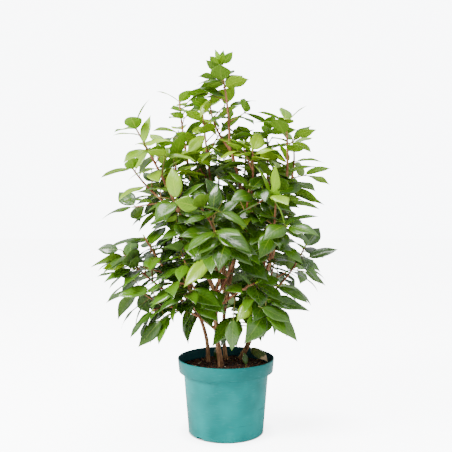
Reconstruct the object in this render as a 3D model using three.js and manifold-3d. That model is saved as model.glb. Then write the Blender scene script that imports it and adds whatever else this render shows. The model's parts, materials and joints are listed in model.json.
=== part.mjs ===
// A camellia shrub in its plastic nursery pot, as an assembly of closed solids: the pot, the soil,
// four woody stems, the boughs that leave them, and one mass of twigs and leaves for each shoot.
// Millimetres, +Z up. The origin is the centre of the pot's flat underside. Seen from the front, which
// is from -Y, +X is to the right.
import * as THREE from "three";
import { mergeVertices } from "three/addons/utils/BufferGeometryUtils.js";
import Module from "manifold-3d";

const wasm = await Module();
wasm.setup();

// Driving dimensions of the pot and its soil
const POT_HEIGHT = 170;
const POT_RIM_RADIUS = 110;
const POT_BAND_HEIGHT = 30;
const POT_BAND_FOOT_RADIUS = 107.3;
const POT_NECK_RADIUS = 97;
const POT_FOOT_RADIUS = 86;
const POT_FOOT_ROUNDING = 5;
const POT_WALL = 1.8;
const POT_SEGMENTS = 32;
const LIP_THICKNESS = 2.6;
const SLOT_TURNS_DEG = [-43, 77, 197];
const SLOT_WIDTH = 17;
const SLOT_HEIGHT = 5;
const SLOT_DEPTH = 9;
const SOIL_LEVEL = 148;
const SOIL_SHOULDER = 4;
const CLEARANCE = 0.3;

// Driving dimensions of the shrub
const STEM_SIDES = 8;
const ROOT_FLARE = 0.28;
const ROOT_FLARE_HEIGHT = 0.14;
const BOUGH_SIDES = 5;
const SHOOT_SIDES = 4;
const SHOOT_TIP_RADIUS = 1.8;
const SHOOT_TAPER = 0.0075;
const TWIG_SIDES = 3;
const TWIG_TIP_RADIUS = 1.4;
const TWIG_LEAST_TAPER = 0.5;
const TWIG_SHARE_OF_SHOOT = 0.72;
const TWIG_LENGTH = 92;
const TWIG_SHORTENING = 0.45;
const TWIG_LIFT = 0.1;
const TWIG_FOOT = 0.3;
const TWIG_LEAFY_SHARE = 0.58;
const TWIG_EVERY = 3;
const TWIG_REACH = 0.7;
const NODE_SPACING = 26;
const TWIG_NODE_SPACING = 27;
const LEAF_LENGTH = 68;
const LEAF_THICKNESS = 0.014;
const ROSETTE_LEAVES = 3;
const ROSETTE_STEP = 4;
const ROSETTE_OPENING_DEG = 8;
const FLUSH_LEAVES = 6;
const FLUSH_LEAF_LENGTH = 32;
const FLUSH_SLENDERNESS = 0.5;
const FLUSH_DROOP = 0.1;
const FLUSH_CLOSING_DEG = 7;
const LOWEST_LEAF = POT_HEIGHT + 6;
const CROWN_FOOT = 200;
const CROWN_TOP = 860;

// How the leaves are set and shaped
const FIRST_SEED = 3229;
const SEED_STEP = 613;
const SHOULDERS = [0.26, 0.66];
const SHOULDER_WIDTH = 0.46;
const KEEL_PLACE = 0.46;
const KEEL_DEPTH = 0.045;
const LEVEL_LEAN = 0.1;
const SUN_PULL = 0.8;
const OUTWARD_PULL = 0.35;
const HEADING_PULL = 0.25;
const TIP_ROOT = 0.99;
const FLUSH_FOOT = 0.86;
const EDGE_MARGIN = 0.8;
const FACE_MARGIN = 2.2;
const MEETING_GAP = 0.42;
// What a leaf's or twig's value starts from, what its age and its lowness in the crown add to it, and
// how far chance moves it either way
const TRAITS = {
  leafLength: { base: 0.88, age: 0.1, low: 0.36, chance: 0.12 },
  leafWidth: { base: 0.52, age: 0, low: 0, chance: 0.05 },
  leafDroop: { base: 0.29, age: 0, low: 0.05, chance: 0.09 },
  leafRollDeg: { base: 0, age: 0, low: 0, chance: 22 },
  leafHang: { base: 0.02, age: 0.12, low: 0.4, chance: 0.12 },
  leafSpreadDeg: { base: 54, age: 12, low: 0, chance: 7 },
  leafTurnDeg: { base: 137.5, age: 0, low: 0, chance: 12 },
  rosetteSpreadDeg: { base: 42, age: 0, low: 0, chance: 7 },
  rosetteTurnDeg: { base: 137.5, age: 0, low: 0, chance: 10 },
  flushSpreadDeg: { base: 40, age: 0, low: 0, chance: 5 },
  flushLength: { base: 1, age: 0, low: 0, chance: 0.22 },
  twigRiseDeg: { base: 52, age: 0, low: 0, chance: 8 },
  twigLength: { base: 1, age: 0, low: 0, chance: 0.14 },
};
// The turns and leans that a leaf tries in turn until it is clear
const NUDGES_DEG = [
  [0, 0],
  [24, -6],
  [-24, 6],
  [48, 8],
  [-48, -8],
  [80, 4],
  [-80, 10],
];

// The stems, from the soil to their forks. Radii are at the soil and at the fork.
const STEMS = [
  { name: "stem_left", foot: [-43, 40], tip: [-83, 20, 300], bow: [13, 3, 0], radii: [4.6, 3.8] },
  { name: "stem_front", foot: [-11, 0], tip: [-24, -15, 318], bow: [-4, 0, 0], radii: [6, 4.9] },
  { name: "stem_middle", foot: [1, 56], tip: [4, 60, 314], bow: [-8, 4, 0], radii: [4.4, 3.9] },
  { name: "stem_right", foot: [34, 70], tip: [70, 38, 302], bow: [13, 0, 0], radii: [5.8, 4.9] },
];

// A shoot leaves its parent at a share of the parent's length and runs to its tip, pushed sideways by its
// bow at mid-length. It is a bare bough as far as the share named bare, and leafy beyond it. A single one
// has no twigs, one with flush ends in a tuft of new growth, and hang is how far its leaves are let down.
const shoot = (name, from, at, tip, bow, bare, more) => ({ name, from, at, tip, bow, bare, ...more });
const SHOOTS = [
  shoot("leader", "stem_right", 1, [8, 0, 650], [12, 2, 0], 1, { tipRadius: 3.2 }),
  shoot("top", "leader", 1, [-12, -12, 828], [5, 0, 0], 0, { flush: true, single: true }),
  shoot("top_side", "leader", 0.97, [-36, 34, 746], [-10, 6, 0], 0, { single: true }),
  shoot("centre", "leader", 0.55, [58, -46, 636], [6, -8, -6], 0),
  shoot("left_arch", "stem_front", 1, [-196, -80, 688], [9, -12, 0], 0.34),
  shoot("left_side", "left_arch", 0.5, [-204, -52, 598], [-6, 2, -6], 0),
  shoot("front_short", "stem_front", 0.99, [-51, -140, 512], [24, -8, 8], 0.52),
  shoot("front_centre", "stem_front", 0.93, [50, -88, 556], [12, -10, -10], 0.4),
  shoot("front_left", "stem_front", 0.86, [-108, -94, 352], [-4, -8, 14], 0.26),
  shoot("front_low", "stem_front", 0.78, [62, -100, 352], [2, -10, 8], 0.42),
  shoot("front_foot", "stem_right", 0.5, [22, -20, 272], [0, -4, 4], 0, { hang: 0.4 }),
  shoot("left_hanging", "stem_front", 0.5, [-158, -62, 288], [-8, -4, 26], 0.62, { hang: 0.5 }),
  shoot("left_inner", "stem_left", 1, [-146, 26, 556], [14, 6, 0], 0.3),
  shoot("left_low", "stem_left", 0.95, [-178, -52, 446], [2, -6, -12], 0.36),
  shoot("left_far", "stem_left", 0.86, [-228, -10, 404], [-6, 8, -10], 0.42),
  shoot("left_foot", "stem_left", 0.78, [-72, -14, 306], [-6, -4, 4], 0),
  shoot("left_back", "stem_left", 0.9, [-124, 124, 628], [-6, 20, -8], 0.32),
  shoot("left_back_low", "stem_left", 0.72, [-150, 118, 380], [-4, 10, -6], 0.4),
  shoot("middle_tall", "stem_middle", 1, [-54, 34, 728], [-4, 2, 0], 0.34),
  shoot("middle_left", "stem_middle", 0.95, [-110, 72, 764], [-18, 4, -6], 0.36),
  shoot("middle_right", "stem_middle", 0.98, [48, 94, 668], [10, 6, 0], 0.34),
  shoot("back_tall", "stem_middle", 0.88, [-18, 192, 640], [-6, 20, -6], 0.32),
  shoot("back_low", "stem_middle", 0.66, [30, 196, 402], [0, 12, -4], 0.34),
  shoot("right_tall", "stem_right", 0.99, [132, -28, 706], [28, 0, -4], 0.34, { single: true }),
  shoot("right_side", "right_tall", 0.6, [154, 32, 662], [10, 6, -4], 0, { single: true }),
  shoot("right_inner", "stem_right", 0.96, [97, 84, 692], [12, 16, 0], 0.36),
  shoot("right_front", "stem_right", 0.93, [104, -118, 526], [8, -12, -10], 0.38, { flush: true }),
  shoot("right_low", "stem_right", 0.9, [174, -40, 424], [6, -6, -12], 0.62, { single: true }),
  shoot("right_foot", "stem_right", 0.8, [94, -70, 320], [8, -6, 8], 0.34),
  shoot("right_back", "stem_right", 0.86, [108, 140, 556], [8, 14, -8], 0.34),
  shoot("right_back_low", "stem_right", 0.7, [118, 116, 378], [4, 6, -8], 0.4),
];

const BARK = new THREE.MeshStandardMaterial({ color: 0x8a5a3c, roughness: 0.75, metalness: 0 });
const LEAF = new THREE.MeshStandardMaterial({ color: 0x4d8b22, roughness: 0.35, metalness: 0 });
const POT = new THREE.MeshStandardMaterial({ color: 0x3fa5a0, roughness: 0.45, metalness: 0 });
const SOIL = new THREE.MeshStandardMaterial({ color: 0x3a2219, roughness: 0.95, metalness: 0 });

const SKY = new THREE.Vector3(0, 0, 1);
const radians = THREE.MathUtils.degToRad;
const vector = ([x, y, z]) => new THREE.Vector3(x, y, z);

// A seeded run of numbers from 0 to 1, the same on every machine
class Dice {
  constructor(seed) {
    this.state = seed;
  }
  next() {
    this.state = (this.state * 16807) % 2147483647;
    return this.state / 2147483647;
  }
  around(middle, chance) {
    return middle + chance * (2 * this.next() - 1);
  }
  draw({ base, age, low, chance }, ageNow = 0, lowNow = 0) {
    return this.around(base + age * ageNow + low * lowNow, chance);
  }
}

// A tapering limb along a curve that is pushed sideways by its bow at mid-length
class Limb extends THREE.Curve {
  constructor(start, tip, bow, radii, sides, hang = 0) {
    super();
    this.hang = hang;
    this.start = start;
    this.chord = tip.clone().sub(start);
    this.bow = bow;
    this.radii = radii;
    this.sides = sides;
    const axes = [new THREE.Vector3(0, 1, 0), new THREE.Vector3(1, 0, 0), SKY];
    const slant = (axis) => Math.abs(axis.dot(this.chord));
    this.reference = axes.reduce((best, axis) => (slant(axis) < slant(best) ? axis : best));
  }
  getPoint(t) {
    return this.start.clone().addScaledVector(this.chord, t).addScaledVector(this.bow, 4 * t * (1 - t));
  }
  heading(t) {
    return this.chord.clone().addScaledVector(this.bow, 4 - 8 * t).normalize();
  }
  radius(t) {
    return this.radii[0] + (this.radii[1] - this.radii[0]) * t;
  }
  // The direction square to the limb at an angle round it
  outward(t, turn) {
    const heading = this.heading(t);
    const u = new THREE.Vector3().crossVectors(this.reference, heading).normalize();
    const v = new THREE.Vector3().crossVectors(heading, u);
    return u.multiplyScalar(Math.cos(turn)).addScaledVector(v, Math.sin(turn));
  }
  // The direction that leans out from the limb's heading by an angle, at an angle round it
  leaning(t, turn, lean) {
    const forward = this.heading(t).multiplyScalar(Math.cos(lean));
    return forward.addScaledVector(this.outward(t, turn), Math.sin(lean));
  }
}

// A stem thickens towards the soil
class Stem extends Limb {
  radius(t) {
    return super.radius(t) * (1 + ROOT_FLARE * Math.exp(-t / ROOT_FLARE_HEIGHT));
  }
}

const limbs = new Map();
for (const { name, foot, tip, bow, radii } of STEMS) {
  const start = new THREE.Vector3(foot[0], foot[1], SOIL_LEVEL + CLEARANCE);
  limbs.set(name, new Stem(start, vector(tip), vector(bow), radii, STEM_SIDES));
}
for (const { name, from, at, tip, bow, hang, tipRadius = SHOOT_TIP_RADIUS } of SHOOTS) {
  const start = limbs.get(from).getPoint(at);
  const radii = [tipRadius + SHOOT_TAPER * start.distanceTo(vector(tip)), tipRadius];
  limbs.set(name, new Limb(start, vector(tip), vector(bow), radii, BOUGH_SIDES, hang));
}

// The limbs that a leaf stays clear of, as short straight lengths
const wood = [];
function layWood(limb, lengths) {
  for (let i = 0; i < lengths; i++) {
    const a = limb.getPoint(i / lengths);
    const b = limb.getPoint((i + 1) / lengths);
    wood.push({ a, b, reach: a.distanceTo(b), radius: limb.radius(i / lengths) });
  }
}
for (const limb of limbs.values()) layWood(limb, 10);

// A leaf: its root, its own axes, and the sizes of its blade
class Leaf {
  constructor(root, along, facing, roll, sizes) {
    this.root = root;
    this.along = along.clone().normalize();
    this.up = facing.clone().addScaledVector(this.along, -facing.dot(this.along)).normalize();
    this.up.applyAxisAngle(this.along, roll);
    this.across = new THREE.Vector3().crossVectors(this.up, this.along);
    Object.assign(this, sizes);
  }
  // The height of the blade over its root, which falls away towards the tip
  height(share) {
    return -this.droop * this.length * share * share;
  }
  // Half the width of the blade, which is six-sided
  halfWidth(share) {
    const widest = SHOULDER_WIDTH * this.width;
    if (share < SHOULDERS[0]) return (widest * share) / SHOULDERS[0];
    if (share < SHOULDERS[1]) return widest;
    return (widest * (1 - share)) / (1 - SHOULDERS[1]);
  }
  place(share, offset, lift = 0) {
    return this.root
      .clone()
      .addScaledVector(this.along, share * this.length)
      .addScaledVector(this.across, offset)
      .addScaledVector(this.up, this.height(share) + lift);
  }
  // Where a point lies in the leaf's own axes: its share of the length, its offset, its height over the blade
  locate(point) {
    const d = point.clone().sub(this.root);
    const share = d.dot(this.along) / this.length;
    return { share, offset: d.dot(this.across), over: d.dot(this.up) - this.height(share) };
  }
  covers({ share, offset }) {
    return share > 0.1 && share < 1 && Math.abs(offset) < this.halfWidth(share) + EDGE_MARGIN;
  }
  // The midrib and the two edges, each as a run of points
  lines() {
    if (!this.runs) {
      const middle = [0.14, 0.35, 0.56, 0.78, 1].map((s) => this.place(s, 0));
      const side = (sign) => [0.28, 0.47, 0.66, 0.83].map((s) => this.place(s, sign * this.halfWidth(s)));
      this.runs = [1, -1].map((sign) => [middle[0], ...side(sign), middle[4]]);
      this.runs.push(middle);
    }
    return this.runs;
  }
}

// Whether a straight length passes through a leaf's blade, or an end of it almost touches the blade
function pierces(a, b, leaf) {
  const p = leaf.locate(a);
  const q = leaf.locate(b);
  if (leaf.covers(p) && Math.abs(p.over) < FACE_MARGIN) return true;
  if (leaf.covers(q) && Math.abs(q.over) < FACE_MARGIN) return true;
  if (p.over * q.over >= 0) return false;
  const t = p.over / (p.over - q.over);
  const share = p.share + (q.share - p.share) * t;
  const offset = p.offset + (q.offset - p.offset) * t;
  return leaf.covers({ share, offset });
}

function linesPierce(lines, leaf) {
  return lines.some((run) => run.some((point, i) => i > 0 && pierces(run[i - 1], point, leaf)));
}

function touchesWood(leaf, lines) {
  const middle = leaf.place(0.5, 0);
  const foot = new THREE.Vector3();
  return wood.some(({ a, b, reach, radius }) => {
    if (a.distanceTo(middle) > 0.6 * leaf.length + reach + radius) return false;
    if (pierces(a, b, leaf)) return true;
    const core = new THREE.Line3(a, b);
    const gap = (point) => core.closestPointToPoint(point, true, foot).distanceTo(point) - radius;
    return lines.some((run) => run.slice(1).some((point) => gap(point) < FACE_MARGIN));
  });
}

function isClear(leaf, leaves) {
  const lines = leaf.lines();
  if (lines.some((run) => run.some((point) => point.z < LOWEST_LEAF))) return false;
  if (touchesWood(leaf, lines)) return false;
  return !leaves.some((other) => {
    if (other.root.distanceTo(leaf.root) > other.length + leaf.length) return false;
    return linesPierce(lines, other) || linesPierce(other.lines(), leaf);
  });
}

// The leaf at one node: its first clear place among a few small turns of it, or none.
// Age is 1 at the foot of the foliage and 0 at its tip, and low is 1 at the foot of the crown.
function growLeaf(limb, t, turn, spread, age, dice, leaves) {
  const root = limb.getPoint(t);
  const heading = limb.heading(t);
  const low = THREE.MathUtils.clamp(1 - (root.z - CROWN_FOOT) / (CROWN_TOP - CROWN_FOOT), 0, 1);
  const length = LEAF_LENGTH * dice.draw(TRAITS.leafLength, age, low);
  const width = length * dice.draw(TRAITS.leafWidth);
  const droop = dice.draw(TRAITS.leafDroop, age, low);
  const roll = radians(dice.draw(TRAITS.leafRollDeg));
  const hang = limb.hang + dice.draw(TRAITS.leafHang, age, low * low);
  const facing = new THREE.Vector3(root.x, root.y, 0).normalize().multiplyScalar(OUTWARD_PULL);
  facing.addScaledVector(SKY, SUN_PULL).addScaledVector(heading, HEADING_PULL);
  for (const [turnMore, spreadMore] of NUDGES_DEG) {
    const along = limb.leaning(t, turn + radians(turnMore), spread + radians(spreadMore));
    along.z = Math.max(along.z, LEVEL_LEAN) - hang;
    const leaf = new Leaf(root, along, facing, roll, { length, width, droop });
    if (isClear(leaf, leaves)) {
      leaves.push(leaf);
      return leaf;
    }
  }
  return null;
}

// A small upright leaf of the new growth
function growFlush(limb, turn, spread, dice, leaves) {
  const length = FLUSH_LEAF_LENGTH * dice.draw(TRAITS.flushLength);
  const along = limb.leaning(1, turn, spread);
  const sizes = { length, width: FLUSH_SLENDERNESS * length, droop: FLUSH_DROOP };
  const leaf = new Leaf(limb.getPoint(TIP_ROOT), along, SKY, 0, sizes);
  leaves.push(leaf);
  return leaf;
}

// The leaves at the nodes of a shoot or twig, and the rosette at its tip
function dress(limb, nodes, from, firstTurn, flush, dice, leaves) {
  const found = [];
  let turn = firstTurn;
  for (const t of nodes) {
    const age = 1 - (t - from) / (1 - from);
    turn += radians(dice.draw(TRAITS.leafTurnDeg));
    const spread = radians(dice.draw(TRAITS.leafSpreadDeg, age));
    found.push(growLeaf(limb, t, turn, spread, age, dice, leaves));
  }
  const tip = flush ? FLUSH_FOOT : TIP_ROOT;
  const step = ROSETTE_STEP / limb.chord.length();
  for (let i = 0; i < ROSETTE_LEAVES; i++) {
    turn += radians(dice.draw(TRAITS.rosetteTurnDeg));
    const spread = radians(dice.draw(TRAITS.rosetteSpreadDeg) + ROSETTE_OPENING_DEG * i);
    found.push(growLeaf(limb, tip - step * i, turn, spread, 0, dice, leaves));
  }
  for (let i = 0; flush && i < FLUSH_LEAVES; i++) {
    turn += radians(TRAITS.leafTurnDeg.base);
    const spread = radians(dice.draw(TRAITS.flushSpreadDeg) - FLUSH_CLOSING_DEG * i);
    found.push(growFlush(limb, turn, spread, dice, leaves));
  }
  return found.filter((leaf) => leaf !== null);
}

// A side twig, which rises from its shoot
function growTwig(limb, t, share, dice) {
  const turn = dice.around(0, Math.PI);
  const rise = radians(dice.draw(TRAITS.twigRiseDeg));
  const length = TWIG_LENGTH * (dice.draw(TRAITS.twigLength) - TWIG_SHORTENING * share);
  const start = limb.getPoint(t);
  const tip = start.clone().addScaledVector(limb.leaning(t, turn, rise), length);
  tip.addScaledVector(SKY, TWIG_LIFT * length);
  const radius = Math.max(TWIG_TIP_RADIUS + TWIG_LEAST_TAPER, TWIG_SHARE_OF_SHOOT * limb.radius(t));
  return new Limb(start, tip, new THREE.Vector3(), [radius, TWIG_TIP_RADIUS], TWIG_SIDES, limb.hang);
}

// The skeleton of each shoot: its nodes, and the twigs that take the place of every third leaf
const plans = [];
for (const [i, { name, bare, flush, single }] of SHOOTS.entries()) {
  if (bare === 1) continue;
  const limb = limbs.get(name);
  const dice = new Dice(FIRST_SEED + SEED_STEP * i);
  const plan = { name, limb, bare, flush, dice, nodes: [], twigs: [], firstTurn: dice.around(0, Math.PI) };
  const count = Math.max(3, Math.round(((1 - bare) * limb.chord.length()) / NODE_SPACING));
  for (let k = 0; k < count; k++) {
    const t = bare + ((1 - bare) * (k + 0.5)) / (count + 0.4);
    const hasTwig = !single && k % TWIG_EVERY === 1 && k < TWIG_REACH * count;
    if (hasTwig) plan.twigs.push(growTwig(limb, t, k / count, dice));
    else plan.nodes.push(t);
  }
  for (const twig of plan.twigs) layWood(twig, 4);
  plans.push(plan);
}

const leaves = [];
for (const plan of plans) {
  const { limb, bare, flush, dice, nodes, twigs, firstTurn } = plan;
  plan.leaves = dress(limb, nodes, bare, firstTurn, flush, dice, leaves);
  for (const twig of twigs) {
    const count = Math.max(1, Math.round(twig.chord.length() / TWIG_NODE_SPACING) - 1);
    const twigNodes = Array.from({ length: count }, (_, i) => TWIG_FOOT + (TWIG_LEAFY_SHARE * i) / count);
    plan.leaves.push(...dress(twig, twigNodes, 0, dice.around(0, Math.PI), false, dice, leaves));
  }
}

// Closed solids from three.js geometry, and back
function solidOf(geometry) {
  const bare = geometry.clone();
  bare.deleteAttribute("normal");
  bare.deleteAttribute("uv");
  const merged = mergeVertices(bare, 1e-4);
  const mesh = new wasm.Mesh({
    numProp: 3,
    vertProperties: merged.attributes.position.array,
    triVerts: new Uint32Array(merged.index.array),
  });
  return new wasm.Manifold(mesh);
}

function solidOfTriangles(points, triangles) {
  const geometry = new THREE.BufferGeometry().setFromPoints(points);
  geometry.setIndex(triangles);
  return solidOf(geometry);
}

function geometryOf(solid) {
  const { vertProperties, triVerts, numProp } = solid.getMesh();
  const geometry = new THREE.BufferGeometry();
  geometry.setAttribute("position", new THREE.BufferAttribute(new Float32Array(vertProperties), numProp));
  geometry.setIndex(new THREE.BufferAttribute(new Uint32Array(triVerts), 1));
  geometry.computeVertexNormals();
  return geometry;
}

// A limb's solid from one share of its length to another, grown outwards all over by a margin
function limbSolid(limb, { from = 0, to = 1, stations, margin = 0, sides = limb.sides }) {
  const points = [];
  const triangles = [];
  for (let i = 0; i < stations; i++) {
    const t = from + ((to - from) * i) / (stations - 1);
    const isEnd = i === 0 ? -1 : i === stations - 1 ? 1 : 0;
    const centre = limb.getPoint(t).addScaledVector(limb.heading(t), isEnd * margin);
    for (let k = 0; k < sides; k++) {
      const outward = limb.outward(t, (2 * Math.PI * k) / sides);
      const point = outward.multiplyScalar(limb.radius(t) + margin).add(centre);
      if (t === 0 && limb instanceof Stem) point.z = centre.z;
      points.push(point);
    }
  }
  for (let i = 0; i + 1 < stations; i++) {
    for (let k = 0; k < sides; k++) {
      const a = i * sides + k;
      const b = i * sides + ((k + 1) % sides);
      triangles.push(a, b, b + sides, a, b + sides, a + sides);
    }
  }
  const last = (stations - 1) * sides;
  for (let k = 1; k + 1 < sides; k++) {
    triangles.push(0, k + 1, k);
    triangles.push(last, last + k, last + k + 1);
  }
  return solidOfTriangles(points, triangles);
}

// A leaf's solid: three facets along its arch on top, and a keel below that runs from its root to its tip
function leafSolid(leaf, margin = 0) {
  const corner = (share, side) => leaf.place(share, side * leaf.halfWidth(share));
  const [low, high] = SHOULDERS;
  const left = [corner(low, -1), corner(high, -1)];
  const right = [corner(high, 1), corner(low, 1)];
  const depth = (LEAF_THICKNESS + KEEL_DEPTH * leaf.droop) * leaf.length;
  const keel = leaf.place(KEEL_PLACE, 0, -depth - margin);
  const top = [0, 1, 5, 1, 2, 4, 1, 4, 5, 2, 3, 4];
  const under = [6, 1, 0, 6, 2, 1, 6, 3, 2, 6, 4, 3, 6, 5, 4, 6, 0, 5];
  const points = [leaf.root, ...left, leaf.place(1, 0), ...right, keel];
  return solidOfTriangles(points, [...top, ...under]);
}

function largest(solid) {
  return solid.decompose().reduce((best, piece) => (piece.volume() > best.volume() ? piece : best));
}

const group = new THREE.Group();
function add(name, solid, material) {
  const mesh = new THREE.Mesh(geometryOf(solid), material);
  mesh.name = name;
  group.add(mesh);
}

// The pot: one wall that steps out to its rim band, with drain slots through its lower corner
function potSolid() {
  const profile = new THREE.Path();
  const bandFoot = POT_HEIGHT - POT_BAND_HEIGHT;
  const innerFoot = POT_FOOT_RADIUS - POT_WALL;
  profile.moveTo(0, 0);
  profile.lineTo(POT_FOOT_RADIUS - POT_FOOT_ROUNDING, 0);
  profile.absarc(POT_FOOT_RADIUS - POT_FOOT_ROUNDING, POT_FOOT_ROUNDING, POT_FOOT_ROUNDING, -Math.PI / 2, 0);
  profile.lineTo(POT_NECK_RADIUS, bandFoot - 1);
  profile.lineTo(POT_BAND_FOOT_RADIUS, bandFoot);
  profile.lineTo(POT_RIM_RADIUS, POT_HEIGHT - LIP_THICKNESS / 2);
  profile.lineTo(POT_RIM_RADIUS - LIP_THICKNESS / 2, POT_HEIGHT);
  profile.lineTo(POT_RIM_RADIUS - LIP_THICKNESS, POT_HEIGHT - LIP_THICKNESS / 2);
  profile.lineTo(POT_BAND_FOOT_RADIUS - POT_WALL, bandFoot + POT_WALL);
  profile.lineTo(POT_NECK_RADIUS - POT_WALL, bandFoot + POT_WALL - 1);
  profile.lineTo(innerFoot, POT_FOOT_ROUNDING);
  profile.lineTo(innerFoot - POT_FOOT_ROUNDING + POT_WALL, POT_WALL);
  profile.lineTo(0, POT_WALL);
  const outline = profile.getPoints(3).map((p) => new THREE.Vector2(Math.max(p.x, 0), p.y));
  let pot = solidOf(new THREE.LatheGeometry(outline, POT_SEGMENTS).rotateX(Math.PI / 2));
  for (const turn of SLOT_TURNS_DEG) {
    const slot = new THREE.BoxGeometry(SLOT_WIDTH, 2 * SLOT_DEPTH, 2 * SLOT_HEIGHT);
    slot.translate(0, -POT_FOOT_RADIUS, 0).rotateZ(radians(turn));
    pot = pot.subtract(solidOf(slot));
  }
  return pot;
}

// The soil fills the pot to a flat top, with a shoulder that falls away at the wall
function soilSolid() {
  const bandFoot = POT_HEIGHT - POT_BAND_HEIGHT;
  const gap = POT_WALL + CLEARANCE;
  const slope = (POT_RIM_RADIUS - POT_BAND_FOOT_RADIUS) / POT_BAND_HEIGHT;
  const shoulder = SOIL_LEVEL - SOIL_SHOULDER;
  const wallAtTop = POT_BAND_FOOT_RADIUS + slope * (shoulder - bandFoot) - gap - CLEARANCE;
  const outline = [
    [0, POT_WALL + CLEARANCE],
    [POT_FOOT_RADIUS - POT_FOOT_ROUNDING - gap, POT_WALL + CLEARANCE],
    [POT_FOOT_RADIUS - gap - CLEARANCE, POT_FOOT_ROUNDING + 2 * CLEARANCE],
    [POT_NECK_RADIUS - gap, bandFoot + POT_WALL],
    [POT_BAND_FOOT_RADIUS - gap - 1, bandFoot + POT_WALL + CLEARANCE],
    [wallAtTop, shoulder],
    [wallAtTop - 2 * SOIL_SHOULDER, SOIL_LEVEL],
    [0, SOIL_LEVEL],
  ].map(([x, y]) => new THREE.Vector2(x, y));
  return solidOf(new THREE.LatheGeometry(outline, POT_SEGMENTS).rotateX(Math.PI / 2));
}

add("pot", potSolid(), POT);
add("soil", soilSolid(), SOIL);

// The bare wood. Each limb is cut back from the limbs that were made before it, which it only meets.
const limbMargins = [];
const cutBack = (solid) => largest(limbMargins.reduce((rest, other) => rest.subtract(other), solid));
for (const { name } of STEMS) {
  const limb = limbs.get(name);
  add(name, limbSolid(limb, { stations: 6 }), BARK);
  limbMargins.push(limbSolid(limb, { stations: 6, margin: MEETING_GAP }));
}
for (const { name, bare } of SHOOTS) {
  if (bare === 0) continue;
  const limb = limbs.get(name);
  const span = { to: bare, stations: bare === 1 ? 6 : 3 };
  add(bare === 1 ? name : `bough_${name}`, cutBack(limbSolid(limb, span)), BARK);
  limbMargins.push(limbSolid(limb, { ...span, margin: MEETING_GAP }));
}

// The masses of foliage. A twig or leaf that would touch another mass or a limb is left out.
const taken = limbMargins.map((solid) => ({ solid, box: solid.boundingBox(), owner: null }));
const take = (solid, owner) => taken.push({ solid, box: solid.boundingBox(), owner });
function touches(solid, owner) {
  const { min, max } = solid.boundingBox();
  const isApart = (box) => [0, 1, 2].some((k) => min[k] > box.max[k] || max[k] < box.min[k]);
  const rivals = taken.filter((other) => other.owner !== owner && !isApart(other.box));
  return rivals.some((other) => !solid.intersect(other.solid).isEmpty());
}
const massStems = new Map();
for (const { name, limb, bare } of plans) {
  const span = { from: bare, stations: 4, sides: SHOOT_SIDES };
  massStems.set(name, cutBack(limbSolid(limb, span)));
  limbMargins.push(limbSolid(limb, { ...span, margin: MEETING_GAP }));
  take(limbMargins.at(-1), name);
}
for (const { name, twigs, leaves: own } of plans) {
  const parts = [massStems.get(name)];
  for (const twig of twigs) {
    const solid = limbSolid(twig, { stations: 2 });
    if (touches(solid, name)) continue;
    parts.push(solid);
    take(limbSolid(twig, { stations: 2, margin: CLEARANCE }), name);
  }
  for (const leaf of own) {
    const solid = leafSolid(leaf);
    if (touches(solid, name)) continue;
    parts.push(solid);
    take(leafSolid(leaf, CLEARANCE), name);
  }
  add(`foliage_${name}`, largest(wasm.Manifold.union(parts)), LEAF);
}

export default group;
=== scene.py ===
"""Dresses the potted camellia shrub over its fixed frame.

The stems, boughs, twigs and leaves grow by the same seeded rule as the solids, in millimetres, and are
then carried on to finer twigs within the same reach. Meshes are made in metres, in the row frame: +Z is
up, the camera looks from -Y, and the origin is the centre of the pot's flat underside.
"""

import json
import logging
import math
from dataclasses import dataclass, field
from enum import Enum
from functools import cache

import bpy
import numpy as np
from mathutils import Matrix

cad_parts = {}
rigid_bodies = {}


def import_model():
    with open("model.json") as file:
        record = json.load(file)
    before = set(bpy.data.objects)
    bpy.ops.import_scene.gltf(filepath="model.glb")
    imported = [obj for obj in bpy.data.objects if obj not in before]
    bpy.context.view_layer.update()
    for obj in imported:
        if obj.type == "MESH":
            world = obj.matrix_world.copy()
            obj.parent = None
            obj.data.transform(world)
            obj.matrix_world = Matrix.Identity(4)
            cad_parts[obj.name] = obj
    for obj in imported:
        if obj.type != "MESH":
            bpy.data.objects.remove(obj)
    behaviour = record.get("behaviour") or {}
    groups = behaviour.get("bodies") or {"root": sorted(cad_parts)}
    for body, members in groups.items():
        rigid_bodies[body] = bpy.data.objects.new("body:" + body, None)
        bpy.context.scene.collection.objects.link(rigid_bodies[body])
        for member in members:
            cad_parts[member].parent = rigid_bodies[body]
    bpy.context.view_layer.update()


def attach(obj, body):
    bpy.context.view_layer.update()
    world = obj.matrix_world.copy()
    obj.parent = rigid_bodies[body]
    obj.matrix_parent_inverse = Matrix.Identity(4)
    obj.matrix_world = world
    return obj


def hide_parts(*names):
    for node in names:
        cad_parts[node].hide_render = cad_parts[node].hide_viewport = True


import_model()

Array = np.ndarray
Triple = tuple[float, float, float]
Colour = Triple
Span = tuple[float, float]
Socket = bpy.types.NodeSocket
Outputs = bpy.types.NodeOutputs
Material = bpy.types.Material
Thing = bpy.types.Object

METRE = 0.001
BODY = "root"
BLADE_GAP = 0.02
SAME_PLACE = 1e-4
BUD_TAPER = (1.15, 0.75)
SKY = np.array((0.0, 0.0, 1.0))
AXES = (np.array((0.0, 1.0, 0.0)), np.array((1.0, 0.0, 0.0)), SKY)

log = logging.getLogger("camellia")


# Small helpers


def unit(vector: Array) -> Array:
    """Scales a vector, or each one of an array of them, to length one."""
    return vector / np.linalg.norm(vector, axis=-1, keepdims=True)


def radians(degrees: float) -> float:
    """Turns degrees into radians."""
    return degrees * math.pi / 180


def to_array(*rows: tuple[float, ...]) -> list[Array]:
    """Makes an array of each row of numbers."""
    return [np.array(row, float) for row in rows]


def clip_to_one(value: float) -> float:
    """Holds a value between 0 and 1."""
    return float(np.clip(value, 0, 1))


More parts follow.
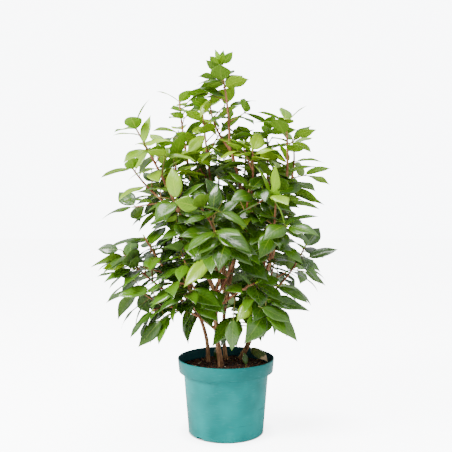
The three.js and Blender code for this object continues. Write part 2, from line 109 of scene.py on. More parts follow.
@dataclass(frozen=True)
class Trait:
    """What a leaf's or twig's value starts from, and what moves it.

    Attributes:
        base: the value it starts from.
        chance: how far chance moves it either way.
        age: what age adds, from 1 at the foot of the foliage to 0 at its tip.
        low: what lowness adds, from 1 at the foot of the crown to 0 at its top.
    """

    base: float
    chance: float
    age: float = 0.0
    low: float = 0.0


@dataclass
class Dice:
    """A seeded run of numbers, the same on every machine.

    Attributes:
        state: the whole number that the next roll starts from.
    """

    FACTOR = 16807
    SPAN = 2**31 - 1

    state: int

    def roll(self) -> float:
        """Gives the next number, from 0 to 1."""
        self.state = self.state * self.FACTOR % self.SPAN
        return self.state / self.SPAN

    def around(self, middle: float, spread: float) -> float:
        """Rolls a number within a spread to either side of a middle value."""
        return middle + spread * (2 * self.roll() - 1)

    def turn(self) -> float:
        """Rolls an angle of up to half a turn either way."""
        return self.around(0, math.pi)

    def draw(self, trait: Trait, age: float = 0, low: float = 0) -> float:
        """Rolls a trait's value for a leaf or twig of that age and lowness."""
        return self.around(trait.base + trait.age * age + trait.low * low, trait.chance)

    def many(self, count: int, middle: float, spread: float) -> Array:
        """Rolls several numbers, each within a spread to either side of a middle value."""
        return np.array([self.around(middle, spread) for _ in range(count)])


# The shrub's driving dimensions, in millimetres, as in the solids


@dataclass(frozen=True)
class PotSizes:
    """The pot's and the soil's driving dimensions, in millimetres."""

    height: float = 170
    rim_radius: float = 110
    band_height: float = 30
    band_foot_radius: float = 107.3
    neck_radius: float = 97
    foot_radius: float = 86
    foot_rounding: float = 5
    wall: float = 1.8
    lip: float = 2.6
    slot_turns: tuple[float, ...] = (-43, 77, 197)
    slot_size: Triple = (17, 18, 10)
    soil_level: float = 148
    clearance: float = 0.3


@dataclass(frozen=True)
class ShrubSizes:
    """The shrub's driving dimensions, in millimetres and degrees."""

    root_flare: float = 0.28
    root_flare_height: float = 0.14
    shoot_tip_radius: float = 1.8
    shoot_taper: float = 0.0075
    twig_tip_radius: float = 1.4
    twig_least_taper: float = 0.5
    twig_share_of_shoot: float = 0.72
    twig_length: float = 92
    twig_size: Trait = Trait(1, 0.14)
    twig_shortening: float = 0.45
    twig_rise: Trait = Trait(52, 8)
    twig_lift: float = 0.1
    twig_foot: float = 0.3
    twig_leafy_share: float = 0.58
    twig_every: int = 3
    twig_reach: float = 0.7
    node_spacing: float = 26
    node_end_room: float = 0.4
    fewest_nodes: int = 3
    twig_node_spacing: float = 27
    leaf_length: float = 68
    leaf_size: Trait = Trait(0.88, 0.12, age=0.1, low=0.36)
    leaf_slenderness: Trait = Trait(0.52, 0.05)
    leaf_droop: Trait = Trait(0.29, 0.09, low=0.05)
    leaf_roll: Trait = Trait(0, 22)
    leaf_hang: Trait = Trait(0.02, 0.12, age=0.12, low=0.4)
    leaf_spread: Trait = Trait(54, 7, age=12)
    leaf_turn: Trait = Trait(137.5, 12)
    rosette_leaves: int = 3
    rosette_step: float = 4
    rosette_opening: float = 8
    rosette_spread: Trait = Trait(42, 7)
    rosette_turn: Trait = Trait(137.5, 10)
    flush_leaves: int = 6
    flush_leaf_length: float = 32
    flush_size: Trait = Trait(1, 0.22)
    flush_slenderness: float = 0.5
    flush_droop: float = 0.1
    flush_closing: float = 7
    flush_spread: Trait = Trait(40, 5)
    lowest_leaf: float = 176
    crown_foot: float = 200
    crown_top: float = 860
    first_seed: int = 3229
    seed_step: int = 613
    shoulders: Span = (0.26, 0.66)
    shoulder_width: float = 0.46
    level_lean: float = 0.1
    sun_pull: float = 0.8
    outward_pull: float = 0.35
    heading_pull: float = 0.25
    tip_root: float = 0.99
    flush_foot: float = 0.86
    edge_margin: float = 0.8
    face_margin: float = 2.2
    blade_foot: float = 0.1
    wood_reach: float = 0.6
    crown_middle: float = 30
    crown_reach: float = 190
    # These deal each leaf's kind, whose colours are also painted light and shade: lit at the top of the
    # crown, shaded in its middle, lit again low down, and inner leaves pushed to older kinds as painted
    # shade.
    old_by_lowness: float = 1.5
    old_by_age: float = 0.15
    old_by_depth: float = 0.2
    young_below: float = 0.76
    mature_below: float = 1.06


@dataclass(frozen=True)
class SprigSizes:
    """The finer twigs that the dressed shrub adds, in millimetres and degrees.

    Attributes:
        gap_high, gap_low: the distance between them at the top and at the foot of the crown.
        downward: how far down a bare bough they start at the foot of the crown, as a share of it.
        tested_from: the share of a sprig where its way starts to be tested.
        tip_leaves, side_leaf: how many leaves stand at its tip, and where the others do.
    """

    gap_high: float = 48
    gap_low: float = 17
    downward: float = 0.5
    twig_foot: float = 0.15
    place: Trait = Trait(0.5, 0.2)
    end_room: float = 0.6
    rise: Trait = Trait(60, 12)
    length: Trait = Trait(34, 10)
    lift: float = 0.15
    radii: Span = (1.5, 1.0)
    thickest: float = 0.8
    tested_from: float = 0.2
    leaves: int = 3
    tip_leaves: int = 2
    side_leaf: float = 0.5
    leaf_scale: float = 0.84
    leaf_age: float = 0.5
    leaf_spread: Trait = Trait(48, 9)
    leaf_opening: float = 6


POT = PotSizes()
SHRUB = ShrubSizes()
SPRIG = SprigSizes()
NUDGES = ((0, 0), (24, -6), (-24, 6), (48, 8), (-48, -8), (80, 4), (-80, 10))


@dataclass(frozen=True)
class Stem:
    """One stem, from the soil to its fork."""

    name: str
    foot: Span
    tip: Triple
    bow: Triple
    radii: Span


@dataclass(frozen=True)
class Shoot:
    """One shoot, which is a bare bough as far as one share of its length and leafy beyond it.

    Attributes:
        parent, at: the limb that it leaves, and the share of that limb's length where it does.
        bow: how far it is pushed sideways at mid-length.
        bare: the share of it that is bare bough.
        flush: whether it ends in a tuft of new growth.
        single: whether it has no twigs.
        hang: how far its leaves are let down.
    """

    name: str
    parent: str
    at: float
    tip: Triple
    bow: Triple
    bare: float
    flush: bool = False
    single: bool = False
    hang: float = 0.0
    tip_radius: float = SHRUB.shoot_tip_radius


STEMS = (
    Stem("stem_left", (-43, 40), (-83, 20, 300), (13, 3, 0), (4.6, 3.8)),
    Stem("stem_front", (-11, 0), (-24, -15, 318), (-4, 0, 0), (6, 4.9)),
    Stem("stem_middle", (1, 56), (4, 60, 314), (-8, 4, 0), (4.4, 3.9)),
    Stem("stem_right", (34, 70), (70, 38, 302), (13, 0, 0), (5.8, 4.9)),
)

SHOOTS = (
    Shoot("leader", "stem_right", 1, (8, 0, 650), (12, 2, 0), 1, tip_radius=3.2),
    Shoot("top", "leader", 1, (-12, -12, 828), (5, 0, 0), 0, flush=True, single=True),
    Shoot("top_side", "leader", 0.97, (-36, 34, 746), (-10, 6, 0), 0, single=True),
    Shoot("centre", "leader", 0.55, (58, -46, 636), (6, -8, -6), 0),
    Shoot("left_arch", "stem_front", 1, (-196, -80, 688), (9, -12, 0), 0.34),
    Shoot("left_side", "left_arch", 0.5, (-204, -52, 598), (-6, 2, -6), 0),
    Shoot("front_short", "stem_front", 0.99, (-51, -140, 512), (24, -8, 8), 0.52),
    Shoot("front_centre", "stem_front", 0.93, (50, -88, 556), (12, -10, -10), 0.4),
    Shoot("front_left", "stem_front", 0.86, (-108, -94, 352), (-4, -8, 14), 0.26),
    Shoot("front_low", "stem_front", 0.78, (62, -100, 352), (2, -10, 8), 0.42),
    Shoot("front_foot", "stem_right", 0.5, (22, -20, 272), (0, -4, 4), 0, hang=0.4),
    Shoot("left_hanging", "stem_front", 0.5, (-158, -62, 288), (-8, -4, 26), 0.62, hang=0.5),
    Shoot("left_inner", "stem_left", 1, (-146, 26, 556), (14, 6, 0), 0.3),
    Shoot("left_low", "stem_left", 0.95, (-178, -52, 446), (2, -6, -12), 0.36),
    Shoot("left_far", "stem_left", 0.86, (-228, -10, 404), (-6, 8, -10), 0.42),
    Shoot("left_foot", "stem_left", 0.78, (-72, -14, 306), (-6, -4, 4), 0),
    Shoot("left_back", "stem_left", 0.9, (-124, 124, 628), (-6, 20, -8), 0.32),
    Shoot("left_back_low", "stem_left", 0.72, (-150, 118, 380), (-4, 10, -6), 0.4),
    Shoot("middle_tall", "stem_middle", 1, (-54, 34, 728), (-4, 2, 0), 0.34),
    Shoot("middle_left", "stem_middle", 0.95, (-110, 72, 764), (-18, 4, -6), 0.36),
    Shoot("middle_right", "stem_middle", 0.98, (48, 94, 668), (10, 6, 0), 0.34),
    Shoot("back_tall", "stem_middle", 0.88, (-18, 192, 640), (-6, 20, -6), 0.32),
    Shoot("back_low", "stem_middle", 0.66, (30, 196, 402), (0, 12, -4), 0.34),
    Shoot("right_tall", "stem_right", 0.99, (132, -28, 706), (28, 0, -4), 0.34, single=True),
    Shoot("right_side", "right_tall", 0.6, (154, 32, 662), (10, 6, -4), 0, single=True),
    Shoot("right_inner", "stem_right", 0.96, (97, 84, 692), (12, 16, 0), 0.36),
    Shoot("right_front", "stem_right", 0.93, (104, -118, 526), (8, -12, -10), 0.38, flush=True),
    Shoot("right_low", "stem_right", 0.9, (174, -40, 424), (6, -6, -12), 0.62, single=True),
    Shoot("right_foot", "stem_right", 0.8, (94, -70, 320), (8, -6, 8), 0.34),
    Shoot("right_back", "stem_right", 0.86, (108, 140, 556), (8, 14, -8), 0.34),
    Shoot("right_back_low", "stem_right", 0.7, (118, 116, 378), (4, 6, -8), 0.4),
)


# The growth rule


@dataclass
class Limb:
    """A tapering limb along a curve that is pushed sideways by its bow at mid-length.

    Attributes:
        bow: how far its middle is pushed.
        radii: its radii at the start and the tip.
        flare: how much thicker it is at the soil, as a share.
        hang: how far its leaves are let down.
    """

    start: Array
    tip: Array
    bow: Array
    radii: Span
    flare: float = 0.0
    hang: float = 0.0

    def __post_init__(self) -> None:
        """Works out the chord and the axis that the limb's turns are measured from."""
        self.chord = self.tip - self.start
        self.length = float(np.linalg.norm(self.chord))
        self.reference = min(AXES, key=lambda axis: abs(float(axis @ self.chord)))

    def point(self, share: float | Array) -> Array:
        """The place on the axis at a share of the length."""
        t = np.asarray(share, float)[..., None]
        return self.start + self.chord * t + self.bow * (4 * t * (1 - t))

    def heading(self, share: float | Array) -> Array:
        """The direction of growth at a share of the length."""
        t = np.asarray(share, float)[..., None]
        return unit(self.chord + self.bow * (4 - 8 * t))

    def radius(self, share: float | Array) -> Array:
        """The radius at a share of the length."""
        plain = self.radii[0] + (self.radii[1] - self.radii[0]) * np.asarray(share, float)
        return plain * (1 + self.flare * np.exp(-np.asarray(share, float) / SHRUB.root_flare_height))

    def outward(self, share: float | Array, turn: float | Array) -> Array:
        """The direction square to the limb.

        Args:
            share: the share of the length.
            turn: the angle round the limb, in radians.

        Returns:
            The unit direction, or an array of them.
        """
        heading = self.heading(share)
        u = unit(np.cross(self.reference, heading))
        v = np.cross(heading, u)
        angle = np.asarray(turn, float)[..., None]
        return u * np.cos(angle) + v * np.sin(angle)

    def leaning(self, share: float, turn: float, lean: float) -> Array:
        """The direction at a share of the length that leans out from the heading, angles in radians."""
        return self.heading(share) * math.cos(lean) + self.outward(share, turn) * math.sin(lean)


def feet_on(starts: Array, ends: Array, points: Array) -> Array:
    """Finds the nearest places on straight lengths to points.

    Args:
        starts: where each length starts.
        ends: where each length ends.
        points: the points.

    Returns:
        The places, shaped (lengths, points, 3).
    """
    way = ends - starts
    along = np.einsum("mpk,mk->mp", points[None] - starts[:, None], way)
    share = np.clip(along / np.einsum("mk,mk->m", way, way)[:, None], 0, 1)
    return starts[:, None] + way[:, None] * share[..., None]


class Wood:
    """The limbs that a leaf stays clear of, as short straight lengths.

    Attributes:
        LIMB_LENGTHS, TWIG_LENGTHS: how many lengths stand for a stem or shoot, and for a twig.
    """

    LIMB_LENGTHS = 10
    TWIG_LENGTHS = 4

    def __init__(self) -> None:
        """Starts with no limbs."""
        self.starts: list[Array] = []
        self.ends: list[Array] = []
        self.radii: list[float] = []

    def lay(self, limb: Limb, lengths: int) -> None:
        """Adds a limb.

        Args:
            limb: the limb.
            lengths: how many straight lengths stand for it.
        """
        shares = np.arange(lengths + 1) / lengths
        points = limb.point(shares)
        self.starts.extend(points[:-1])
        self.ends.extend(points[1:])
        self.radii.extend(limb.radius(shares[:-1]))

    def arrays(self) -> tuple[Array, ...]:
        """The starts, ends and radii of all the lengths."""
        return np.array(self.starts), np.array(self.ends), np.array(self.radii)

    def nearest(self, point: Array) -> Array:
        """Finds the place on the axis of any limb that is nearest to a point."""
        feet = feet_on(np.array(self.starts), np.array(self.ends), point[None])[:, 0]
        return feet[np.argmin(np.linalg.norm(feet - point, axis=1))]


def plain_half_width(width: float | Array, share: float | Array) -> Array:
    """Half the width of a blade's six-sided outline at a share of its length."""
    low, high = SHRUB.shoulders
    return SHRUB.shoulder_width * width * np.minimum(1, np.minimum(share / low, (1 - share) / (1 - high)))


@dataclass
class Leaf:
    """One leaf: its root, its own axes, and the sizes of its blade.

    Attributes:
        MIDRIB_STOPS, EDGE_STOPS: the shares of its length where the tested runs of points have one.
    """

    MIDRIB_STOPS = (0.14, 0.35, 0.56, 0.78, 1.0)
    EDGE_STOPS = (0.28, 0.47, 0.66, 0.83)

    root: Array
    along: Array
    up: Array
    length: float
    width: float
    droop: float
    kind: "LeafKind"

    @classmethod
    def facing(
        cls,
        root: Array,
        along: Array,
        towards: Array,
        roll: float,
        sizes: Triple,
        kind: "LeafKind",
    ) -> "Leaf":
        """Makes a leaf whose blade faces a direction as nearly as its own axis lets it.

        Args:
            root: where it leaves its limb.
            along: the direction of its axis.
            towards: where its upper side should face.
            roll: its turn about its axis, in radians.
            sizes: its length, its width, and its tip's fall as a share of the length.
            kind: its kind.

        Returns:
            The leaf.
        """
        along = unit(along)
        up = unit(towards - along * float(towards @ along))
        up = up * math.cos(roll) + np.cross(along, up) * math.sin(roll)
        return cls(root, along, up, *sizes, kind)

    def __post_init__(self) -> None:
        """Works out the third axis, and the midrib and edges as runs of points."""
        self.across = np.cross(self.up, self.along)
        middle = [self.place(s, 0) for s in self.MIDRIB_STOPS]
        runs = [middle]
        for sign in (1, -1):
            side = [self.place(s, sign * plain_half_width(self.width, s)) for s in self.EDGE_STOPS]
            runs.append([middle[0], *side, middle[-1]])
        self.starts = np.array([point for run in runs for point in run[:-1]])
        self.ends = np.array([point for run in runs for point in run[1:]])

    def place(self, share: float, offset: float) -> Array:
        """The place on the blade at a share of its length and a distance sideways from its midrib."""
        height = -self.droop * self.length * share * share
        return self.root + self.along * (share * self.length) + self.across * offset + self.up * height


class Blades:
    """All the leaves so far, kept as arrays so that a new leaf is tried against them in one go."""

    FIELDS = ("root", "along", "across", "up", "length", "width", "droop", "starts", "ends")

    def __init__(self, leaves: list[Leaf]) -> None:
        """Gathers the leaves."""
        for name in self.FIELDS:
            setattr(self, name, np.array([getattr(leaf, name) for leaf in leaves]))

    def near(self, root: Array, reach: float) -> "Blades":
        """Picks the leaves whose roots lie within their own length and a reach of a point.

        Args:
            root: the point.
            reach: the reach.

        Returns:
            Those leaves.
        """
        chosen = np.linalg.norm(self.root - root, axis=1) <= self.length + reach
        found = Blades([])
        for name in self.FIELDS:
            setattr(found, name, getattr(self, name)[chosen])
        return found

    def pierced(self, starts: Array, ends: Array) -> Array:
        """Whether straight lengths pass through blades, or end almost on them.

        Args:
            starts: where each length starts, shaped (leaves or 1, lengths, 3).
            ends: where each length ends.

        Returns:
            One truth value for each leaf and length.
        """
        if not len(self.length):
            return np.zeros(0, bool)
        share_a, offset_a, over_a = self._locate(starts)
        share_b, offset_b, over_b = self._locate(ends)
        hit = self._covers(share_a, offset_a) & (np.abs(over_a) < SHRUB.face_margin)
        hit |= self._covers(share_b, offset_b) & (np.abs(over_b) < SHRUB.face_margin)
        crossing = over_a * over_b < 0
        gap = np.where(crossing, over_a - over_b, 1.0)
        t = over_a / gap
        share = share_a + (share_b - share_a) * t
        offset = offset_a + (offset_b - offset_a) * t
        return hit | (crossing & self._covers(share, offset))

    def _locate(self, points: Array) -> tuple[Array, ...]:
        """Finds where points lie in each leaf's own axes.

        Args:
            points: the points, shaped (leaves or 1, points, 3).

        Returns:
            Their shares of the length, their offsets, and their heights over the blade.
        """
        d = points - self.root[:, None]
        share = np.einsum("nmk,nk->nm", d, self.along) / self.length[:, None]
        offset = np.einsum("nmk,nk->nm", d, self.across)
        blade = -(self.droop * self.length)[:, None] * share * share
        return share, offset, np.einsum("nmk,nk->nm", d, self.up) - blade

    def _covers(self, share: Array, offset: Array) -> Array:
        """Finds which places, given in the leaves' own axes, are over or under their blades."""
        half = plain_half_width(self.width[:, None], share)
        return (share > SHRUB.blade_foot) & (share < 1) & (np.abs(offset) < half + SHRUB.edge_margin)


@dataclass
class Spray:
    """One shoot with its twigs and leaves.

    Attributes:
        sprigs: the finer twigs that only the dressed shrub has.
    """

    plan: Shoot
    limb: Limb
    dice: Dice
    first_turn: float
    nodes: list[float] = field(default_factory=list)
    twigs: list[Limb] = field(default_factory=list)
    sprigs: list[Limb] = field(default_factory=list)
    leaves: list[Leaf] = field(default_factory=list)


class LeafKind(Enum):
    """The ages of leaves, which differ in colour and gloss; the young, mature and old colours are also
    painted light and shade by where the leaves sit in the crown.
    """

    FLUSH = "flush"
    YOUNG = "young"
    MATURE = "mature"
    OLD = "old"
    DYING = "dying"


KINDS = tuple(LeafKind)
FLUSH, YOUNG, MATURE, OLD, DYING = KINDS


@dataclass(frozen=True)
class PlacedLeaf:
    """One leaf that is placed by itself, in millimetres.

    Attributes:
        root, along: where the leaf leaves its twig, and the direction of its axis.
        facing: where its upper side faces.
        sizes: its length, its width, and how far its tip falls away as a share of the length.
        twig: where its twig starts, if not at the nearest limb.
    """

    root: Triple
    along: Triple
    facing: Triple
    sizes: Triple
    kind: LeafKind
    twig: Triple | None = None

    def leaf(self) -> Leaf:
        """The leaf itself."""
        root, along, facing = to_array(self.root, self.along, self.facing)
        return Leaf.facing(root, along, facing, 0, self.sizes, self.kind)


# The leaves that catch the eye in the crown, from its tip down, and the low ones in the pot

CROWN_LEAVES = (
    PlacedLeaf((-16, -16, 826), (-0.6, -0.3, 0.7), (0, 0.6, 0.8), (30, 20, 0.1), FLUSH),
    PlacedLeaf((-8, -16, 828), (0.55, -0.3, 0.75), (0, 0.6, 0.8), (38, 22, 0.15), FLUSH),
    PlacedLeaf((-10, -16, 790), (-0.05, -0.75, 0.65), (0, 0.3, 1), (62, 45, 0.22), MATURE),
    PlacedLeaf((-6, -8, 778), (0.9, -0.25, 0.55), (0, 0.8, 1), (62, 38, 0.34), YOUNG),
    PlacedLeaf((-16, -6, 800), (-0.9, 0.3, 0.35), (0, 0.6, 1), (46, 24, 0.2), MATURE),
    PlacedLeaf((-34, 6, 758), (-0.55, -0.3, -0.75), (-0.4, -1, 0.4), (50, 24, 0.25), YOUNG),
    PlacedLeaf((-34, 20, 768), (-0.95, -0.1, 0.3), (0, 0.7, 1), (54, 28, 0.35), YOUNG),
    PlacedLeaf((132, -36, 672), (-0.45, -0.55, 0.7), (0, 0.25, 1), (60, 42, 0.2), MATURE),
    PlacedLeaf((137, -28, 702), (0.55, -0.3, 0.75), (0, -0.3, 1), (52, 28, 0.2), YOUNG),
    PlacedLeaf((-47, 20, 680), (-0.58, -0.5, -0.64), (-0.2, -1, 0.35), (70, 30, 0.12), YOUNG),
    PlacedLeaf((-52, -145, 514), (-0.85, -0.35, 0.25), (0.1, -1, 0.5), (56, 34, 0.1), YOUNG),
    PlacedLeaf((-28, -125, 412), (-0.68, -0.35, -0.62), (-0.3, -1, 0.5), (88, 33, 0.08), YOUNG),
    PlacedLeaf((-17, -130, 446), (0.75, -0.2, 0.62), (-0.4, -1, 0.6), (88, 30, 0.15), YOUNG),
    PlacedLeaf((-7, -118, 420), (0.93, -0.25, 0.3), (0, -0.7, 0.75), (86, 34, 0.2), OLD),
    PlacedLeaf((63, -98, 318), (-0.66, -0.35, -0.66), (-0.1, -1, 0.45), (62, 32, 0.1), YOUNG),
    PlacedLeaf((84, -124, 322), (0.98, -0.12, -0.12), (0, -0.6, 0.8), (94, 38, 0.18), OLD),
    PlacedLeaf((68, -132, 308), (0.9, -0.2, -0.33), (0.1, -0.8, 0.6), (74, 30, 0.15), OLD),
    PlacedLeaf((16, -105, 282), (-0.05, -0.15, -1), (0, -1, 0.1), (74, 32, 0.08), OLD),
    PlacedLeaf((-136, -68, 273), (-0.67, -0.12, -0.73), (-0.2, -1, 0.3), (86, 32, 0.08), MATURE),
    PlacedLeaf((-162, -66, 336), (-0.98, -0.1, -0.1), (0, -0.7, 0.75), (76, 32, 0.15), OLD),
    PlacedLeaf((-217, -25, 390), (-0.97, -0.05, -0.2), (-0.1, -0.9, 0.6), (62, 28, 0.1), YOUNG),
    PlacedLeaf((-236, -20, 417), (-1, 0, 0.1), (0, -1, 0.5), (54, 26, 0.2), MATURE),
    PlacedLeaf((176, -42, 400), (0.95, -0.05, 0.35), (0, -0.75, 0.7), (74, 28, 0.12), MATURE),
)
FOOT_LEAVES = (
    PlacedLeaf((55, 36, 184), (0.6, -0.6, -0.1), (0.35, -0.75, 0.75), (54, 32, 0.4), DYING, (50, 62, 184)),
    PlacedLeaf((46, -10, 152), (-0.12, 0.1, 1), (0.2, -1, 0.1), (30, 13, 0.12), OLD, (45, -8, 145)),
    PlacedLeaf((-19, 6, 196), (-0.15, -0.1, -1), (-0.5, -1, 0.2), (38, 16, 0.15), MATURE, (-14, 0, 200)),
)


class Shrub:
    """The whole shrub's skeleton: its limbs, its sprays, and every leaf."""

    def __init__(self) -> None:
        """Grows the limbs, then the twigs, then the leaves."""
        self.limbs: dict[str, Limb] = {}
        self.leaves = [plan.leaf() for plan in CROWN_LEAVES]
        self.wood = Wood()
        self.blades = Blades(self.leaves)
        self._grow_limbs()
        self.sprays = [self._plan_spray(i, plan) for i, plan in enumerate(SHOOTS) if plan.bare < 1]
        self.wood_arrays = self.wood.arrays()
        for spray in self.sprays:
            self._grow_spray(spray)
        self._carry_on()
        log.info("the crown has %d leaves", len(self.leaves))

    def _grow_limbs(self) -> None:
        """Lays out the stems and the shoots."""
        for stem in STEMS:
            foot = (*stem.foot, POT.soil_level + POT.clearance)
            start, tip, bow = to_array(foot, stem.tip, stem.bow)
            self.limbs[stem.name] = Limb(start, tip, bow, stem.radii, SHRUB.root_flare)
        for plan in SHOOTS:
            start = self.limbs[plan.parent].point(plan.at)
            tip, bow = to_array(plan.tip, plan.bow)
            base = plan.tip_radius + SHRUB.shoot_taper * float(np.linalg.norm(tip - start))
            self.limbs[plan.name] = Limb(start, tip, bow, (base, plan.tip_radius), hang=plan.hang)
        for limb in self.limbs.values():
            self.wood.lay(limb, Wood.LIMB_LENGTHS)

    def _plan_spray(self, index: int, plan: Shoot) -> Spray:
        """Sets out the nodes and twigs of one shoot.

        Args:
            index: the shoot's place in the table, which sets its seed.
            plan: the shoot's row.

        Returns:
            The spray, still without leaves.
        """
        dice = Dice(SHRUB.first_seed + SHRUB.seed_step * index)
        limb = self.limbs[plan.name]
        spray = Spray(plan, limb, dice, dice.turn())
        leafy = 1 - plan.bare
        count = max(SHRUB.fewest_nodes, math.floor(leafy * limb.length / SHRUB.node_spacing + 0.5))
        for k in range(count):
            t = plan.bare + leafy * (k + 0.5) / (count + SHRUB.node_end_room)
            has_twig = not plan.single and k % SHRUB.twig_every == 1 and k < SHRUB.twig_reach * count
            if has_twig:
                spray.twigs.append(self._grow_twig(limb, t, k / count, dice))
            else:
                spray.nodes.append(t)
        for twig in spray.twigs:
            self.wood.lay(twig, Wood.TWIG_LENGTHS)
        return spray

    def _grow_twig(self, limb: Limb, t: float, share: float, dice: Dice) -> Limb:
        """Grows a side twig, which rises from its shoot.

        Args:
            limb: the shoot.
            t: where on the shoot it starts.
            share: how far along the leafy part that is.
            dice: the spray's numbers.

        Returns:
            The twig.
        """
        turn = dice.turn()
        rise = radians(dice.draw(SHRUB.twig_rise))
        length = SHRUB.twig_length * (dice.draw(SHRUB.twig_size) - SHRUB.twig_shortening * share)
        start = limb.point(t)
        tip = start + limb.leaning(t, turn, rise) * length + SKY * (SHRUB.twig_lift * length)
        thinnest = SHRUB.twig_tip_radius + SHRUB.twig_least_taper
        radius = max(thinnest, SHRUB.twig_share_of_shoot * float(limb.radius(t)))
        return Limb(start, tip, np.zeros(3), (radius, SHRUB.twig_tip_radius), hang=limb.hang)

    def _grow_spray(self, spray: Spray) -> None:
        """Sets the leaves of one spray, first along its shoot and then along each twig.

        Args:
            spray: the spray.
        """
        plan, dice = spray.plan, spray.dice
        self._dress(spray, spray.limb, spray.nodes, plan.bare, spray.first_turn, plan.flush)
        for twig in spray.twigs:
            count = max(1, math.floor(twig.length / SHRUB.twig_node_spacing + 0.5) - 1)
            nodes = [SHRUB.twig_foot + SHRUB.twig_leafy_share * i / count for i in range(count)]
            self._dress(spray, twig, nodes, 0, dice.turn(), False)

    def _dress(
        self, spray: Spray, limb: Limb, nodes: list[float], foot: float, turn: float, flush: bool
    ) -> None:
        """Sets the leaves at the nodes of a shoot or twig, and the rosette at its tip.

        Args:
            spray: the leaves' spray.
            limb: the shoot or twig.
            nodes: the shares of its length that bear leaves.
            foot: the share where its foliage starts.
            turn: the angle of the first leaf.
            flush: whether it ends in a tuft of new growth.
        """
        dice = spray.dice
        for t in nodes:
            age = 1 - (t - foot) / (1 - foot)
            turn += radians(dice.draw(SHRUB.leaf_turn))
            self._grow_leaf(spray, limb, t, turn, radians(dice.draw(SHRUB.leaf_spread, age)), age)
        tip = SHRUB.flush_foot if flush else SHRUB.tip_root
        step = SHRUB.rosette_step / limb.length
        for i in range(SHRUB.rosette_leaves):
            turn += radians(dice.draw(SHRUB.rosette_turn))
            spread = radians(dice.draw(SHRUB.rosette_spread) + SHRUB.rosette_opening * i)
            self._grow_leaf(spray, limb, tip - step * i, turn, spread, 0)
        if flush:
            for i in range(SHRUB.flush_leaves):
                turn += radians(SHRUB.leaf_turn.base)
                spread = radians(dice.draw(SHRUB.flush_spread) - SHRUB.flush_closing * i)
                self._grow_flush(spray, limb, turn, spread)

    def _grow_leaf(
        self, spray: Spray, limb: Limb, t: float, turn: float, spread: float, age: float, scale: float = 1
    ) -> None:
        """Sets the leaf at one node in its first clear place among a few small turns of it, if any.

        Args:
            spray: the leaf's spray.
            limb: the leaf's limb.
            t: the share of the limb's length.
            turn: the angle round the limb.
            spread: the angle from the limb's heading.
            age: 1 at the foot of the foliage and 0 at its tip.
            scale: the leaf's size beside the usual one.
        """
        dice = spray.dice
        root, heading = limb.point(t), limb.heading(t)
        low = self._lowness(root)
        length = scale * SHRUB.leaf_length * dice.draw(SHRUB.leaf_size, age, low)
        width = length * dice.draw(SHRUB.leaf_slenderness)
        droop = dice.draw(SHRUB.leaf_droop, age, low)
        roll = radians(dice.draw(SHRUB.leaf_roll))
        hang = limb.hang + dice.draw(SHRUB.leaf_hang, age, low * low)
        facing = unit(np.array((root[0], root[1], 0.0))) * SHRUB.outward_pull
        facing = facing + SKY * SHRUB.sun_pull + heading * SHRUB.heading_pull
        kind = self._kind_of(root, low, age, spray.plan.flush)
        for turn_more, spread_more in NUDGES:
            along = limb.leaning(t, turn + radians(turn_more), spread + radians(spread_more))
            along[2] = max(along[2], SHRUB.level_lean) - hang
            leaf = Leaf.facing(root, along, facing, roll, (length, width, droop), kind)
            if self._is_clear(leaf):
                self._keep(spray, leaf)
                return

    def _grow_flush(self, spray: Spray, limb: Limb, turn: float, spread: float) -> None:
        """Sets a small upright leaf of the new growth.

        Args:
            spray: the leaf's spray.
            limb: the shoot that ends in it.
            turn: the angle round the shoot.
            spread: the angle from the shoot's heading.
        """
        length = SHRUB.flush_leaf_length * spray.dice.draw(SHRUB.flush_size)
        sizes = (length, SHRUB.flush_slenderness * length, SHRUB.flush_droop)
        root, along = limb.point(SHRUB.tip_root), limb.leaning(1, turn, spread)
        self._keep(spray, Leaf.facing(root, along, SKY, 0, sizes, FLUSH))

    @staticmethod
    def _lowness(place: Array) -> float:
        """How low a place is in the crown, from 0 at the crown's top to 1 at its foot."""
        return clip_to_one(1 - (place[2] - SHRUB.crown_foot) / (SHRUB.crown_top - SHRUB.crown_foot))

    def _kind_of(self, root: Array, low: float, age: float, flush: bool) -> LeafKind:
        """Deals a leaf its kind.

        Args:
            root: where it leaves its limb.
            low: 1 at the foot of the crown and 0 at its top.
            age: 1 at the foot of its spray's foliage and 0 at the tip.
            flush: whether its spray ends in new growth, so that it's an older leaf.

        Returns:
            The kind: older towards the foot and the middle of the crown, and with it the painted light and
                shade of its colours: lit at the top, shaded in the middle, lit again low down.
        """
        # The score sets each leaf's painted light and shade along with its age: lit young leaves at the top,
        # shaded mature ones in the middle, lit old ones low down, and inner leaves pushed older as painted
        # shade.
        reach = min(1.0, math.hypot(root[0], root[1] - SHRUB.crown_middle) / SHRUB.crown_reach)
        score = SHRUB.old_by_lowness * low + SHRUB.old_by_age * age + SHRUB.old_by_depth * (1 - reach)
        if score < SHRUB.young_below and not flush:
            return YOUNG
        return MATURE if score < SHRUB.mature_below else OLD

    def _keep(self, spray: Spray, leaf: Leaf) -> None:
        """Adds a leaf to its spray and to the shrub.

        Args:
            spray: the spray.
            leaf: the leaf.
        """
        spray.leaves.append(leaf)
        self.leaves.append(leaf)
        self.blades = Blades(self.leaves)

    def _is_clear(self, leaf: Leaf) -> bool:
        """Tests whether a leaf keeps off the pot, the wood and the other leaves.

        Args:
            leaf: the leaf.

        Returns:
            True if it does.
        """
        lowest = np.concatenate((leaf.starts, leaf.ends))[:, 2].min()
        if lowest < SHRUB.lowest_leaf or self._touches_wood(leaf):
            return False
        near = self.blades.near(leaf.root, leaf.length)
        if near.pierced(leaf.starts[None], leaf.ends[None]).any():
            return False
        starts, ends = near.starts.reshape(1, -1, 3), near.ends.reshape(1, -1, 3)
        return not Blades([leaf]).pierced(starts, ends).any()

